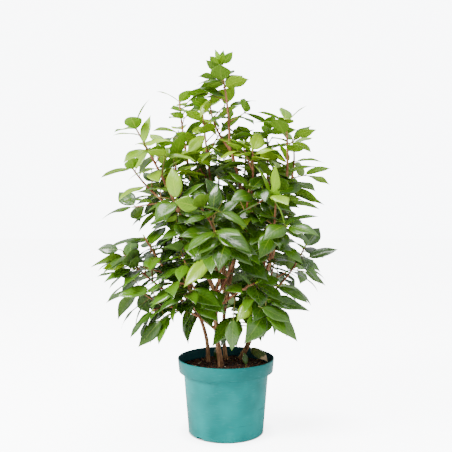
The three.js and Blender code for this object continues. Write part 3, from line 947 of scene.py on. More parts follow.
    def _touches_wood(self, leaf: Leaf) -> bool:
        """Tests whether a leaf meets a limb that it doesn't grow from.

        Args:
            leaf: the leaf.

        Returns:
            True if it does.
        """
        starts, ends, radii = self.wood_arrays
        reach = np.linalg.norm(ends - starts, axis=1) + radii
        middle = leaf.place(0.5, 0)
        close = np.linalg.norm(starts - middle, axis=1) <= SHRUB.wood_reach * leaf.length + reach
        a, b, r = starts[close], ends[close], radii[close]
        if not len(r):
            return False
        if Blades([leaf]).pierced(a[None], b[None]).any():
            return True
        gap = np.linalg.norm(leaf.ends[None] - feet_on(a, b, leaf.ends), axis=2)
        return bool((gap < r[:, None] + SHRUB.face_margin).any())

    def _carry_on(self) -> None:
        """Carries each spray on to finer twigs, inside the reach of the solids."""
        for spray in self.sprays:
            bearers = [(spray.limb, spray.plan.bare)] + [(twig, SPRIG.twig_foot) for twig in spray.twigs]
            for limb, foot in bearers:
                self._add_sprigs(spray, limb, foot)

    def _add_sprigs(self, spray: Spray, limb: Limb, foot: float) -> None:
        """Adds short leafy sprigs to one limb.

        Args:
            spray: their spray.
            limb: the limb that bears them.
            foot: the share where its foliage starts.
        """
        dice = spray.dice
        low = self._lowness(limb.point(0.5))
        if not spray.plan.single:
            foot *= 1 - SPRIG.downward * low
        span = (1 - foot) * limb.length
        count = round(span / (SPRIG.gap_high + (SPRIG.gap_low - SPRIG.gap_high) * low))
        for i in range(count):
            t = foot + (1 - foot) * (i + dice.draw(SPRIG.place)) / (count + SPRIG.end_room)
            turn = dice.turn()
            rise = radians(dice.draw(SPRIG.rise))
            length = dice.draw(SPRIG.length)
            start = limb.point(t)
            tip = start + limb.leaning(t, turn, rise) * length + SKY * (SPRIG.lift * length)
            base = min(SPRIG.radii[0], SPRIG.thickest * float(limb.radius(t)))
            sprig = Limb(start, tip, np.zeros(3), (base, SPRIG.radii[1]))
            near = self.blades.near(start, length)
            a, b = sprig.point(SPRIG.tested_from)[None, None], tip[None, None]
            if near.pierced(a, b).any():
                continue
            before = len(spray.leaves)
            angle = dice.turn()
            for k in range(SPRIG.leaves):
                angle += radians(dice.draw(SHRUB.leaf_turn))
                share = SHRUB.tip_root if k < SPRIG.tip_leaves else SPRIG.side_leaf
                spread = radians(dice.draw(SPRIG.leaf_spread) + SPRIG.leaf_opening * k)
                self._grow_leaf(spray, sprig, share, angle, spread, SPRIG.leaf_age, SPRIG.leaf_scale)
            if len(spray.leaves) > before:
                spray.sprigs.append(sprig)


# Meshes from blanks: a shape that repeats is modelled once, and its copies are bent into place


@dataclass
class Blank:
    """A shape modelled once, as arrays.

    Attributes:
        finishes, charts: the material number of each face, and the chart place of each corner.
    """

    points: Array
    faces: list[list[int]]
    finishes: list[int]
    charts: Array

    @classmethod
    def taken_from(cls, obj: Thing) -> "Blank":
        """Reads a modelled object and removes it.

        Args:
            obj: the object.

        Returns:
            The blank.
        """
        mesh = obj.data
        points = np.array([v.co[:] for v in mesh.vertices], float)
        faces = [list(p.vertices) for p in mesh.polygons]
        finishes = [p.material_index for p in mesh.polygons]
        corners = np.array([v for face in faces for v in face])
        bpy.data.objects.remove(obj)
        bpy.data.meshes.remove(mesh)
        return cls(points, faces, finishes, points[corners])


@dataclass
class Heap:
    """A growing pile of bent copies, which becomes one mesh.

    Attributes:
        attribute: the name of the value that each vertex carries.
    """

    name: str
    attribute: str
    points: list[Array] = field(default_factory=list)
    faces: list[list[int]] = field(default_factory=list)
    finishes: list[int] = field(default_factory=list)
    charts: list[Array] = field(default_factory=list)
    values: list[Array] = field(default_factory=list)
    count: int = 0

    def add(self, blank: Blank, points: Array, values: float | Array, charts: Array, kind: int = 0) -> None:
        """Adds one bent copy of a blank.

        Args:
            blank: the shape that it copies.
            points: the copy's vertices, in millimetres.
            values: the value of each vertex, or of all.
            charts: the chart place of each face corner.
            kind: the number of its kind, which picks its materials.
        """
        self.points.append(points)
        self.faces.extend([[v + self.count for v in face] for face in blank.faces])
        self.finishes.extend([kind + len(KINDS) * number for number in blank.finishes])
        self.charts.append(charts)
        self.values.append(np.broadcast_to(values, len(points)))
        self.count += len(points)

    def build(self, materials: list[Material]) -> Thing:
        """Makes the object.

        Args:
            materials: its materials, in the order of the material numbers.

        Returns:
            The object, linked to the scene at the origin.
        """
        mesh = bpy.data.meshes.new(self.name)
        mesh.from_pydata((np.concatenate(self.points) * METRE).tolist(), [], self.faces)
        used = sorted(set(self.finishes))
        mesh.polygons.foreach_set("material_index", [used.index(number) for number in self.finishes])
        mesh.polygons.foreach_set("use_smooth", [True] * len(self.faces))
        chart = mesh.uv_layers.new(name="chart")
        chart.data.foreach_set("uv", np.concatenate(self.charts).astype(np.float32).ravel())
        value = mesh.attributes.new(self.attribute, "FLOAT", "POINT")
        value.data.foreach_set("value", np.concatenate(self.values).astype(np.float32))
        for number in used:
            mesh.materials.append(materials[number])
        mesh.update()
        obj = bpy.data.objects.new(self.name, mesh)
        bpy.context.scene.collection.objects.link(obj)
        return obj


def deselect_all() -> None:
    if bpy.context.object and bpy.context.object.mode != "OBJECT":
        bpy.ops.object.mode_set(mode="OBJECT")
    for obj in bpy.context.view_layer.objects:
        obj.select_set(False)


def edit_all() -> None:
    """Opens the active mesh for editing with everything selected."""
    bpy.ops.object.mode_set(mode="EDIT")
    bpy.ops.mesh.select_all(action="SELECT")


@cache
def model_tube(sides: int, rings: int) -> Blank:
    """Models a straight closed tube of radius and length one, cut into rings.

    Args:
        sides: its sides.
        rings: its rings.

    Returns:
        The blank, from z 0 to z 1.
    """
    deselect_all()
    bpy.ops.mesh.primitive_cylinder_add(vertices=sides, radius=1, depth=1, location=(0, 0, 0.5))
    obj = bpy.context.object
    bpy.ops.object.transform_apply(location=True, rotation=True, scale=True)
    for ring in range(1, rings):
        edit_all()
        bpy.ops.mesh.bisect(plane_co=(0, 0, ring / rings), plane_no=(0, 0, 1))
        bpy.ops.object.mode_set(mode="OBJECT")
    return Blank.taken_from(obj)


def model_blade(stations: int, columns: int) -> Blank:
    """Models a flat leaf blade with an upper and an under side, pointed at both ends.

    Args:
        stations: its lengths from foot to tip.
        columns: its strips from edge to edge.

    Returns:
        The blank: x from -1 to 1 across, y from 0 to 1 along, z above or below 0 for the two sides.
    """
    deselect_all()
    bpy.ops.mesh.primitive_grid_add(x_subdivisions=columns, y_subdivisions=stations, size=2)
    obj = bpy.context.object
    for end in (-1, 1):
        bpy.ops.object.mode_set(mode="EDIT")
        bpy.ops.mesh.select_mode(type="VERT")
        bpy.ops.mesh.select_all(action="DESELECT")
        bpy.ops.object.mode_set(mode="OBJECT")
        for vertex in obj.data.vertices:
            vertex.select = abs(vertex.co.y - end) < SAME_PLACE
        bpy.ops.object.mode_set(mode="EDIT")
        bpy.ops.mesh.merge(type="CENTER")
        bpy.ops.object.mode_set(mode="OBJECT")
    shell = obj.modifiers.new("sides", "SOLIDIFY")
    shell.thickness = BLADE_GAP
    shell.offset = 0
    shell.material_offset = 1
    obj.data.materials.append(None)
    obj.data.materials.append(None)
    bpy.ops.object.modifier_apply(modifier=shell.name)
    edit_all()
    bpy.ops.transform.translate(value=(0, 1, 0))
    bpy.ops.transform.resize(value=(1, 0.5, 1), center_override=(0, 0, 0))
    bpy.ops.object.mode_set(mode="OBJECT")
    return Blank.taken_from(obj)


def model_bud() -> Blank:
    """Models a pointed bud of radius and length one, fattest below its middle.

    Returns:
        The bud, from z 0 to z 1.
    """
    deselect_all()
    bpy.ops.mesh.primitive_uv_sphere_add(segments=7, ring_count=6, radius=1)
    obj = bpy.context.object
    edit_all()
    bpy.ops.transform.translate(value=(0, 0, 1))
    bpy.ops.transform.resize(value=(1, 1, 0.5), center_override=(0, 0, 0))
    bpy.ops.object.mode_set(mode="OBJECT")
    blank = Blank.taken_from(obj)
    foot, narrowing = BUD_TAPER
    blank.points[:, :2] *= (foot - narrowing * blank.points[:, 2])[:, None]
    return blank


def model_crumb() -> Blank:
    """Models a rough crumb of radius one.

    Returns:
        The crumb.
    """
    deselect_all()
    bpy.ops.mesh.primitive_ico_sphere_add(subdivisions=1, radius=1)
    return Blank.taken_from(bpy.context.object)


# Materials


class Nodes:
    """A node tree under construction, with short calls to place and join its nodes."""

    def __init__(self, tree: bpy.types.NodeTree) -> None:
        """Takes the tree to build in."""
        self.tree = tree

    def put(self, kind: str, **inputs: object) -> bpy.types.Node:
        """Adds a node.

        Args:
            kind: the node's type, without its prefix.
            inputs: values or sockets for its inputs and settings, by name in lower case.

        Returns:
            The node.
        """
        node = self.tree.nodes.new("ShaderNode" + kind)
        for name, value in inputs.items():
            if hasattr(node, name) and not isinstance(value, Socket):
                setattr(node, name, value)
            else:
                self.fill(self.socket(node, name), value)
        return node

    @staticmethod
    def socket(node: bpy.types.Node, name: str) -> Socket:
        """Finds a node's enabled input.

        Args:
            node: the node.
            name: its number, as in_0, or its name in lower case.

        Returns:
            The input.
        """
        if name.startswith("in_"):
            return node.inputs[int(name[3:])]
        return next(s for s in node.inputs if s.name.lower() == name.replace("_", " ") and s.enabled)

    def fill(self, socket: Socket, value: object) -> None:
        """Joins a value to an input, or sets it there.

        Args:
            socket: the input.
            value: a socket to join, or a plain number, vector or colour.
        """
        if isinstance(value, Socket):
            self.tree.links.new(value, socket)
        elif socket.type == "RGBA":
            socket.default_value = (*value, 1.0)
        else:
            socket.default_value = value

    def use(self, effect: bpy.types.NodeTree, *inputs: object) -> Outputs:
        """Places a shared effect.

        Args:
            effect: the effect.
            inputs: a value or socket for each of its inputs, in order.

        Returns:
            Its outputs.
        """
        node = self.put("Group", node_tree=effect)
        for socket, value in zip(node.inputs, inputs):
            self.fill(socket, value)
        return node.outputs

    def place(self) -> Socket:
        """Reads the place on the object, in metres."""
        return self.put("TexCoord").outputs["Object"]

    def chart(self) -> Socket:
        """Reads the place on the piece's chart."""
        return self.put("UVMap", uv_map="chart").outputs[0]

    def carried(self, name: str) -> Socket:
        """Reads the value of that name, which each vertex carries."""
        return self.put("Attribute", attribute_name=name).outputs["Fac"]

    def stretched(self, place: Socket, along: float) -> Socket:
        """Scales a place along the upright only."""
        return self.put("Mapping", vector=place, scale=(1.0, 1.0, along)).outputs[0]

    def noise(self, place: Socket, scale: object, detail: float) -> Socket:
        """Makes clouds of values from 0 to 1, of a scale and with some finer layers."""
        return self.put("TexNoise", vector=place, scale=scale, detail=detail).outputs[0]

    def between(self, value: Socket, low: float, high: float, start: float = 0, end: float = 1) -> Socket:
        """Stretches the range from low to high onto the one from start to end, and holds it there."""
        return self.put("MapRange", in_0=value, in_1=low, in_2=high, in_3=start, in_4=end).outputs[0]

    def spots(self, place: Socket, clouds: Span, spread: tuple[float, ...]) -> Socket:
        """Makes clouds of values and stretches a range of them onto another."""
        return self.between(self.noise(place, *clouds), *spread)

    def maths(self, operation: str, a: object, b: object = 0.0) -> Socket:
        """Works out one operation on one or two values."""
        return self.put("Math", operation=operation, in_0=a, in_1=b).outputs[0]

    def times(self, a: object, b: object) -> Socket:
        """Multiplies two values."""
        return self.maths("MULTIPLY", a, b)

    def plus(self, a: object, b: object) -> Socket:
        """Adds two values."""
        return self.maths("ADD", a, b)

    def minus(self, a: object, b: object) -> Socket:
        """Takes the second value from the first."""
        return self.maths("SUBTRACT", a, b)

    def mix(self, share: object, a: object, b: object) -> Socket:
        """Mixes a share of the second colour into the first."""
        return self.put("Mix", data_type="RGBA", in_0=share, in_6=a, in_7=b).outputs[2]


class Effect(Nodes):
    """A shared effect under construction, which becomes a node group."""

    def __init__(self, name: str, inputs: dict[str, str], outputs: tuple[str, ...]) -> None:
        """Starts the group.

        Args:
            name: its name.
            inputs: the kind of each input, by name.
            outputs: the name of each output; all of them are plain values.
        """
        super().__init__(bpy.data.node_groups.new(name, "ShaderNodeTree"))
        for label, kind in inputs.items():
            self.tree.interface.new_socket(label, in_out="INPUT", socket_type="NodeSocket" + kind)
        for label in outputs:
            self.tree.interface.new_socket(label, in_out="OUTPUT", socket_type="NodeSocketFloat")
        self.given = self.tree.nodes.new("NodeGroupInput").outputs[: len(inputs)]
        self.result = self.tree.nodes.new("NodeGroupOutput").inputs

    def finish(self, **values: Socket) -> bpy.types.NodeTree:
        """Joins the group's outputs.

        Args:
            values: the value of each output, by name in lower case.

        Returns:
            The group.
        """
        for label, value in values.items():
            self.fill(self.result[label.capitalize()], value)
        return self.tree


@cache
def patch_effect() -> bpy.types.NodeTree:
    """Builds soft patches of tone at two sizes, as one mask.

    Returns:
        The group.
    """
    group = Effect("patches", {"Vector": "Vector", "Scale": "Float", "Contrast": "Float"}, ("Mask",))
    place, scale, contrast = group.given
    broad = group.noise(place, scale, 2.0)
    fine = group.noise(place, group.times(scale, 4.7), 4.0)
    centred = group.minus(group.plus(broad, group.times(fine, 0.5)), 0.75)
    mask = group.put("Clamp", in_0=group.plus(group.times(centred, contrast), 0.5))
    return group.finish(mask=mask.outputs[0])


@cache
def rough_effect() -> bpy.types.NodeTree:
    """Builds the fine unevenness of a surface, as a height.

    Returns:
        The group.
    """
    group = Effect("unevenness", {"Vector": "Vector", "Scale": "Float"}, ("Height",))
    place, scale = group.given
    cell = group.put("TexVoronoi", vector=place, scale=group.times(scale, 2.3)).outputs[0]
    return group.finish(height=group.plus(group.noise(place, scale, 5.0), group.times(cell, 0.35)))


@cache
def vein_effect() -> bpy.types.NodeTree:
    """Builds a leaf's midrib and side veins from its chart, which runs across in x and along in y.

    Returns:
        The group.
    """
    inputs = {"Chart": "Vector", "Veins": "Float"}
    group = Effect("leaf_veins", inputs, ("Midrib", "Veins", "Edge", "Height"))
    chart, count = group.given
    parts = group.put("SeparateXYZ", vector=chart).outputs
    aside = group.maths("ABSOLUTE", group.minus(parts[0], 0.5))
    rib_width = group.between(parts[1], 0.0, 1.0, 0.042, 0.012)
    rib = group.minus(1.0, group.maths("DIVIDE", aside, rib_width))
    midrib = group.put("Clamp", in_0=rib).outputs[0]
    slanted = group.minus(parts[1], group.times(aside, 0.55))
    bent = group.plus(slanted, group.times(group.noise(chart, 5.0, 1.0), 0.05))
    phase = group.maths("FRACT", group.times(bent, count))
    from_vein = group.maths("ABSOLUTE", group.minus(phase, 0.5))
    line = group.between(from_vein, 0.0, 0.11, 1.0, 0.0)
    fade = group.between(aside, 0.3, 0.47, 1.0, 0.0)
    height = group.minus(group.times(from_vein, 1.4), group.times(midrib, 0.8))
    edge = group.between(aside, 0.44, 0.5)
    return group.finish(midrib=midrib, veins=group.times(line, fade), edge=edge, height=height)


class Surface(Nodes):
    """A material under construction."""

    def __init__(self, name: str, **plain: float) -> None:
        """Starts a material.

        Args:
            name: its name.
            plain: the shader's plain values, by socket name in lower case.
        """
        self.material = bpy.data.materials.new(name)
        self.material.use_nodes = True
        super().__init__(self.material.node_tree)
        self.plug(**plain)

    def plug(self, **values: object) -> None:
        """Gives the shader's sockets their values, by name in lower case."""
        for label, value in values.items():
            self.fill(self.socket(self.tree.nodes["Principled BSDF"], label), value)

    def finish(self, colour: Socket, rough: Socket, relief: Socket, weight: float, depth: float) -> Material:
        """Joins the looks to the shader.

        Args:
            colour: the base colour.
            rough: the roughness.
            relief: the relief's height.
            weight: how strongly the relief shows.
            depth: the depth that it stands for, in metres.

        Returns:
            The material.
        """
        bump = self.put("Bump", strength=weight, distance=depth, height=relief)
        self.plug(base_color=colour, roughness=rough, normal=bump.outputs[0])
        return self.material


@dataclass(frozen=True)
class Finish:
    """What every finish has.

    Attributes:
        name: the material's name.
        PATCHES: the scale and the contrast of its soft patches.
        GRAIN: the scale of its fine unevenness.
        RELIEF: how strongly its relief shows, and the depth in metres that it stands for.
    """

    name: str


@dataclass(frozen=True)
class BladeSide(Finish):
    """One side of the leaves of one kind.

    Attributes:
        MARKS: each mark on the blade and how strongly it shows.
    """

    deep: Colour
    light: Colour
    rib: Colour
    VEIN_COUNT = 8.0


@dataclass(frozen=True)
class LeafFinish(BladeSide):
    """The upper side: glossy, softly patched and clearly veined."""

    roughness: float
    coat: float
    tip: Colour | None = None
    COAT_ROUGHNESS = 0.16
    MARKS = (("Veins", 0.28), ("Edge", 0.2), ("Midrib", 0.75))
    PATCHES = (38.0, 1.6)
    TONE_SHARE, PATCH_SHARE = 0.75, 0.25
    TIP_RAGGED, TIP_FADE = 0.12, (0.74, 0.82)
    SHINIER, DULLER = 0.05, 0.1
    GRAIN, GRAIN_SHARE = 420.0, 0.25
    RELIEF = (0.35, 0.0007)

    def build(self) -> Material:
        """Makes the material.

        Returns:
            The material.
        """
        coat = {"coat_weight": self.coat, "coat_roughness": self.COAT_ROUGHNESS}
        surface = Surface(self.name, ior=1.45, specular_ior_level=0.5, **coat)
        chart, place, tone = surface.chart(), surface.place(), surface.carried("tone")
        veins = surface.use(vein_effect(), chart, self.VEIN_COUNT)
        patches = surface.use(patch_effect(), place, *self.PATCHES)["Mask"]
        shade = surface.plus(surface.times(tone, self.TONE_SHARE), surface.times(patches, self.PATCH_SHARE))
        colour = surface.mix(shade, self.deep, self.light)
        for part, share in self.MARKS:
            colour = surface.mix(surface.times(veins[part], share), colour, self.rib)
        if self.tip:
            along = surface.put("SeparateXYZ", vector=chart).outputs[1]
            ragged = surface.plus(along, surface.times(patches, self.TIP_RAGGED))
            colour = surface.mix(surface.between(ragged, *self.TIP_FADE), colour, self.tip)
        glossy, dull = self.roughness - self.SHINIER, self.roughness + self.DULLER
        rough = surface.between(patches, 0.0, 1.0, glossy, dull)
        uneven = surface.use(rough_effect(), place, self.GRAIN)["Height"]
        height = surface.plus(veins["Height"], surface.times(uneven, self.GRAIN_SHARE))
        return surface.finish(colour, rough, height, *self.RELIEF)


@dataclass(frozen=True)
class UndersideFinish(BladeSide):
    """The pale and duller under side, pale by nature and made lighter still as painted light shining through
    the blade.
    """

    MARKS = (("Veins", 0.35), ("Midrib", 0.8))
    PATCHES = (30.0, 1.4)
    ROUGHNESS = (0.5, 0.68)
    RELIEF = (0.3, 0.0006)

    def build(self) -> Material:
        """Makes the material.

        Returns:
            The material.
        """
        surface = Surface(self.name, specular_ior_level=0.35)
        veins = surface.use(vein_effect(), surface.chart(), self.VEIN_COUNT)
        patches = surface.use(patch_effect(), surface.place(), *self.PATCHES)["Mask"]
        colour = surface.mix(surface.carried("tone"), self.deep, self.light)
        for part, share in self.MARKS:
            colour = surface.mix(surface.times(veins[part], share), colour, self.rib)
        rough = surface.between(patches, 0.0, 1.0, *self.ROUGHNESS)
        return surface.finish(colour, rough, veins["Height"], *self.RELIEF)


@dataclass(frozen=True)
class BarkFinish(Finish):
    """Bark that goes from grey-tan at the foot, through red-brown, to green on the youngest twigs."""

    name: str = "bark"
    aged: Colour = (0.16, 0.064, 0.024)
    aged_light: Colour = (0.56, 0.31, 0.15)
    brown: Colour = (0.2, 0.052, 0.016)
    green: Colour = (0.17, 0.19, 0.025)
    STRETCH = 0.16
    STREAKS = (190.0, 2.6)
    PATCHES, PATCH_SHARE = (70.0, 3.2), 0.5
    BROWN_FROM, GREEN_FROM = (0.15, 0.5), (0.7, 1.0)
    ROUGHNESS = (0.85, 0.45)
    GRAIN = 520.0
    RELIEF = (0.6, 0.0012)

    def build(self) -> Material:
        """Makes the material.

        Returns:
            The material.
        """
        surface = Surface(self.name, specular_ior_level=0.4)
        place, youth = surface.place(), surface.carried("youth")
        long_way = surface.stretched(place, self.STRETCH)
        streaks = surface.use(patch_effect(), long_way, *self.STREAKS)["Mask"]
        flecks = surface.use(patch_effect(), place, *self.PATCHES)["Mask"]
        aged = surface.mix(streaks, self.aged, self.aged_light)
        brown = surface.mix(surface.times(flecks, self.PATCH_SHARE), self.brown, self.aged_light)
        colour = surface.mix(surface.between(youth, *self.BROWN_FROM), aged, brown)
        colour = surface.mix(surface.between(youth, *self.GREEN_FROM), colour, self.green)
        rough = surface.between(youth, 0.0, 1.0, *self.ROUGHNESS)
        uneven = surface.use(rough_effect(), long_way, self.GRAIN)["Height"]
        return surface.finish(colour, rough, uneven, *self.RELIEF)


@dataclass(frozen=True)
class PotFinish(Finish):
    """Satin plastic, deeper on the rim band, with soft clouds, scuffs and a few smudges.

    Attributes:
        CLOUDS, SCUFFS, SMUDGES: the scale and the finer layers of their values, and what range of
            those is stretched onto what other.
    """

    deep: Colour
    light: Colour
    scuff: Colour
    smudge: Colour
    roughness: float = 0.34
    band_foot: float = (POT.height - POT.band_height) * METRE
    band_edge: float = 0.001
    CLOUDS = ((11.0, 2.0), (0.36, 0.6, 0.25, 1.0))
    SCUFFS = ((60.0, 5.0), (0.56, 0.8, 0.0, 0.3))
    SMUDGES = ((13.0, 2.0), (0.66, 0.71, 0.0, 0.4))
    FLATTENED = 7.0
    BAND_SHARE = 0.7
    DULLER, SCUFF_DULLER = 0.1, 0.4
    GRAIN = 120.0
    RELIEF = (0.1, 0.0006)

    def build(self) -> Material:
        """Makes the material.

        Returns:
            The material.
        """
        surface = Surface(self.name, ior=1.46, specular_ior_level=0.18)
        place = surface.place()
        height = surface.put("SeparateXYZ", vector=place).outputs[2]
        clouds = surface.spots(place, *self.CLOUDS)
        colour = surface.mix(clouds, self.deep, self.light)
        low, high = self.band_foot - self.band_edge, self.band_foot + self.band_edge
        colour = surface.mix(surface.between(height, low, high, 0.0, self.BAND_SHARE), colour, self.deep)
        level = surface.stretched(place, self.FLATTENED)
        scuffs = surface.spots(level, *self.SCUFFS)
        colour = surface.mix(scuffs, colour, self.scuff)
        colour = surface.mix(surface.spots(level, *self.SMUDGES), colour, self.smudge)
        satin = surface.between(clouds, 0.0, 1.0, self.roughness, self.roughness + self.DULLER)
        rough = surface.plus(satin, surface.times(scuffs, self.SCUFF_DULLER))
        uneven = surface.use(rough_effect(), place, self.GRAIN)["Height"]
        return surface.finish(colour, rough, uneven, *self.RELIEF)


POT_OUTSIDE = PotFinish(
    "teal_plastic", (0.0, 0.12, 0.115), (0.0, 0.245, 0.235), (0.05, 0.36, 0.35), (0.0, 0.08, 0.085)
)
# The inside of the pot: the same teal plastic made much darker, as painted shade inside the deep pot, with
# soil-brown smudges.
POT_INSIDE_PAINTED_SHADE = PotFinish(
    "teal_plastic_inside",
    (0.006, 0.06, 0.07),
    (0.015, 0.11, 0.125),
    (0.015, 0.1, 0.11),
    (0.02, 0.016, 0.012),
    roughness=0.5,
)


@dataclass(frozen=True)
class CrumbFinish(Finish):
    """The soil, or one kind of loose stuff on it."""

    dark: Colour
    light: Colour
    roughness: float = 0.9
    PATCHES = (160.0, 3.5)
    SHINIER = 0.12
    GRAIN = 700.0
    RELIEF = (0.8, 0.0014)

    def build(self) -> Material:
        """Makes the material.

        Returns:
            The material.
        """
        surface = Surface(self.name, specular_ior_level=0.3)
        place = surface.place()
        patches = surface.use(patch_effect(), place, *self.PATCHES)["Mask"]
        colour = surface.mix(patches, self.dark, self.light)
        rough = surface.between(patches, 0.0, 1.0, self.roughness - self.SHINIER, self.roughness)
        uneven = surface.use(rough_effect(), place, self.GRAIN)["Height"]
        return surface.finish(colour, rough, uneven, *self.RELIEF)


# The two sides of a leaf, in the order of the kinds

WITHERED = (0.62, 0.42, 0.24)
# Besides their ages, the young colours are lighter as painted light on the top of the crown, the mature ones
# darker as painted shade in its middle, and the old ones have a lighter end as painted light on the low
# leaves.
LEAF_FINISHES = (
    LeafFinish("leaf_flush", (0.12, 0.34, 0.001), (0.3, 0.56, 0.002), (0.6, 0.78, 0.05), 0.38, 0.2),
    LeafFinish("leaf_young", (0.1, 0.24, 0.001), (0.33, 0.53, 0.002), (0.42, 0.56, 0.03), 0.33, 0.4),
    LeafFinish("leaf_mature", (0.009, 0.04, 0.001), (0.052, 0.14, 0.002), (0.22, 0.33, 0.02), 0.3, 0.42),
    LeafFinish("leaf_old", (0.012, 0.05, 0.002), (0.105, 0.265, 0.005), (0.18, 0.31, 0.025), 0.27, 0.65),
    LeafFinish("leaf_dying", (0.015, 0.04, 0.004), (0.06, 0.09, 0.01), (0.2, 0.18, 0.04), 0.5, 0.1, WITHERED),
)
# The undersides are pale by nature and lighter still, as painted light shining through the blades.
UNDERSIDES_LIT_THROUGH = (
    UndersideFinish("flush_underside", (0.15, 0.36, 0.002), (0.3, 0.54, 0.004), (0.6, 0.78, 0.07)),
    UndersideFinish("young_underside", (0.12, 0.28, 0.003), (0.27, 0.46, 0.006), (0.44, 0.58, 0.05)),
    UndersideFinish("mature_underside", (0.08, 0.19, 0.006), (0.16, 0.3, 0.014), (0.27, 0.4, 0.05)),
    UndersideFinish("old_underside", (0.04, 0.1, 0.01), (0.09, 0.18, 0.02), (0.17, 0.27, 0.05)),
    UndersideFinish("dying_underside", (0.07, 0.08, 0.015), (0.14, 0.13, 0.03), (0.3, 0.22, 0.08)),
)


# Sub-assemblies


def hand_over(obj: Thing, slot: str, *nodes: str) -> None:
    """Fixes a finished piece to the body, hides the solids that it stands for, and reports it.

    Args:
        obj: the piece.
        slot: the record's material slot; not used.
        nodes: the solids that it stands for.
    """
    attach(obj, BODY)
    if nodes:
        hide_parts(*nodes)
    log.info("%s: %d faces", obj.name, len(obj.data.polygons))


def draw_up(name: str, sides: int, outline: list[Span]) -> Thing:
    """Draws a disc up along an outline, face by face, and stays in editing.

    Args:
        name: the object's name.
        sides: how many sides stand for its circle.
        outline: radii and heights in millimetres, from the disc's own on.

    Returns:
        The object.
    """
    radius, height = outline[0]
    deselect_all()
    disc = {"radius": radius * METRE, "location": (0, 0, height * METRE)}
    bpy.ops.mesh.primitive_circle_add(vertices=sides, fill_type="NGON", **disc)
    obj = bpy.context.object
    obj.name = obj.data.name = name
    bpy.ops.object.transform_apply(location=True, rotation=True, scale=True)
    edit_all()
    for next_radius, next_height in outline[1:]:
        rise, ratio = (0, 0, (next_height - height) * METRE), next_radius / radius
        bpy.ops.mesh.extrude_region_move(TRANSFORM_OT_translate={"value": rise})
        bpy.ops.transform.resize(value=(ratio, ratio, 1), center_override=(0, 0, next_height * METRE))
        radius, height = next_radius, next_height
    return obj


def end_editing() -> None:
    """Turns all faces of the edited mesh outward and leaves it."""
    bpy.ops.mesh.select_all(action="SELECT")
    bpy.ops.mesh.normals_make_consistent(inside=False)
    bpy.ops.object.mode_set(mode="OBJECT")


@dataclass
class PlasticPot:
    """The pot: a lathed wall with a rolled lip, a rim band and three drain slots."""

    sizes: PotSizes = POT
    sides: int = 120
    corner_steps: int = 5
    lip_steps: int = 6
    smooth_angle: float = 32

    def profile(self) -> list[Span]:
        """Draws the wall's outline, from the underside round to the inside floor.

        Returns:
            Its radii and heights.
        """
        s = self.sizes
        neck, band, foot = s.neck_radius, s.band_foot_radius, s.height - s.band_height
        corner, half = s.foot_radius - s.foot_rounding, s.lip / 2
        floor = s.foot_radius - s.wall
        points = []
        for i in range(self.corner_steps + 1):
            a = math.pi / 2 * i / self.corner_steps
            points.append((corner + s.foot_rounding * math.sin(a), s.foot_rounding * (1 - math.cos(a))))
        # the rounded step under the rim band
        points += [(neck - 0.4, foot - 2.4), (neck + 0.5, foot - 1.2), (band - 2, foot - 0.4)]
        points += [(band - 0.5, foot), (band, foot + 0.8)]
        for i in range(self.lip_steps + 1):
            a = math.pi * i / self.lip_steps
            points.append((s.rim_radius - half + half * math.cos(a), s.height - half + half * math.sin(a)))
        # the inside, down to the floor
        points += [(band - s.wall, foot + s.wall), (neck - s.wall, foot + s.wall - 1)]
        points += [(floor, s.foot_rounding), (floor - s.foot_rounding + s.wall, s.wall)]
        return points

    def build(self) -> Thing:
        """Models the pot and cuts its slots.

        Returns:
            The pot.
        """
        obj = draw_up("pot_shell", self.sides, self.profile())
        end_editing()
        for turn in self.sizes.slot_turns:
            self._cut_slot(obj, radians(turn))
        deselect_all()
        obj.select_set(True)
        bpy.context.view_layer.objects.active = obj
        bpy.ops.object.shade_smooth_by_angle(angle=radians(self.smooth_angle))
        return obj

    def _cut_slot(self, obj: Thing, angle: float) -> None:
        """Cuts a drain slot through the lower corner.

        Args:
            obj: the pot.
            angle: where it is round the pot, in radians from the front.
        """
        far = self.sizes.foot_radius * METRE
        middle = (far * math.sin(angle), -far * math.cos(angle), 0)
        size = tuple(side * METRE for side in self.sizes.slot_size)
        deselect_all()
        bpy.ops.mesh.primitive_cube_add(size=1, location=middle, rotation=(0, 0, angle), scale=size)
        cutter = bpy.context.object
        bpy.context.view_layer.objects.active = obj
        cut = obj.modifiers.new("slot", "BOOLEAN")
        cut.operation = "DIFFERENCE"
        cut.object = cutter
        bpy.ops.object.modifier_apply(modifier=cut.name)
        bpy.data.objects.remove(cutter)

    def dress(self, obj: Thing) -> None:
        """Gives the pot its plastic, with a much darker copy on the inside faces as painted shade, and hands
        it over.

        Args:
            obj: the pot.
        """
        obj.data.materials.append(POT_OUTSIDE.build())
        obj.data.materials.append(POT_INSIDE_PAINTED_SHADE.build())
        for polygon in obj.data.polygons:
            polygon.material_index = int(self._is_inside(polygon))
        hand_over(obj, "pot", "pot")

    def _is_inside(self, polygon: bpy.types.MeshPolygon) -> bool:
        """Tests whether a face is on the inside, below the lip.

        Args:
            polygon: the face.

        Returns:
            True if it is.
        """
        centre, normal = polygon.center, polygon.normal
        is_under_lip = centre.z < (self.sizes.height - self.sizes.lip) * METRE
        is_floor = normal.z > 0.5 and centre.z < self.sizes.foot_rounding * METRE
        return is_under_lip and (is_floor or centre.x * normal.x + centre.y * normal.y < 0)


@dataclass(frozen=True)
class Litter:
    """One kind of loose stuff that lies on the soil."""

    finish: CrumbFinish
    count: int
    sizes: Span
    flat: float
    seed: int


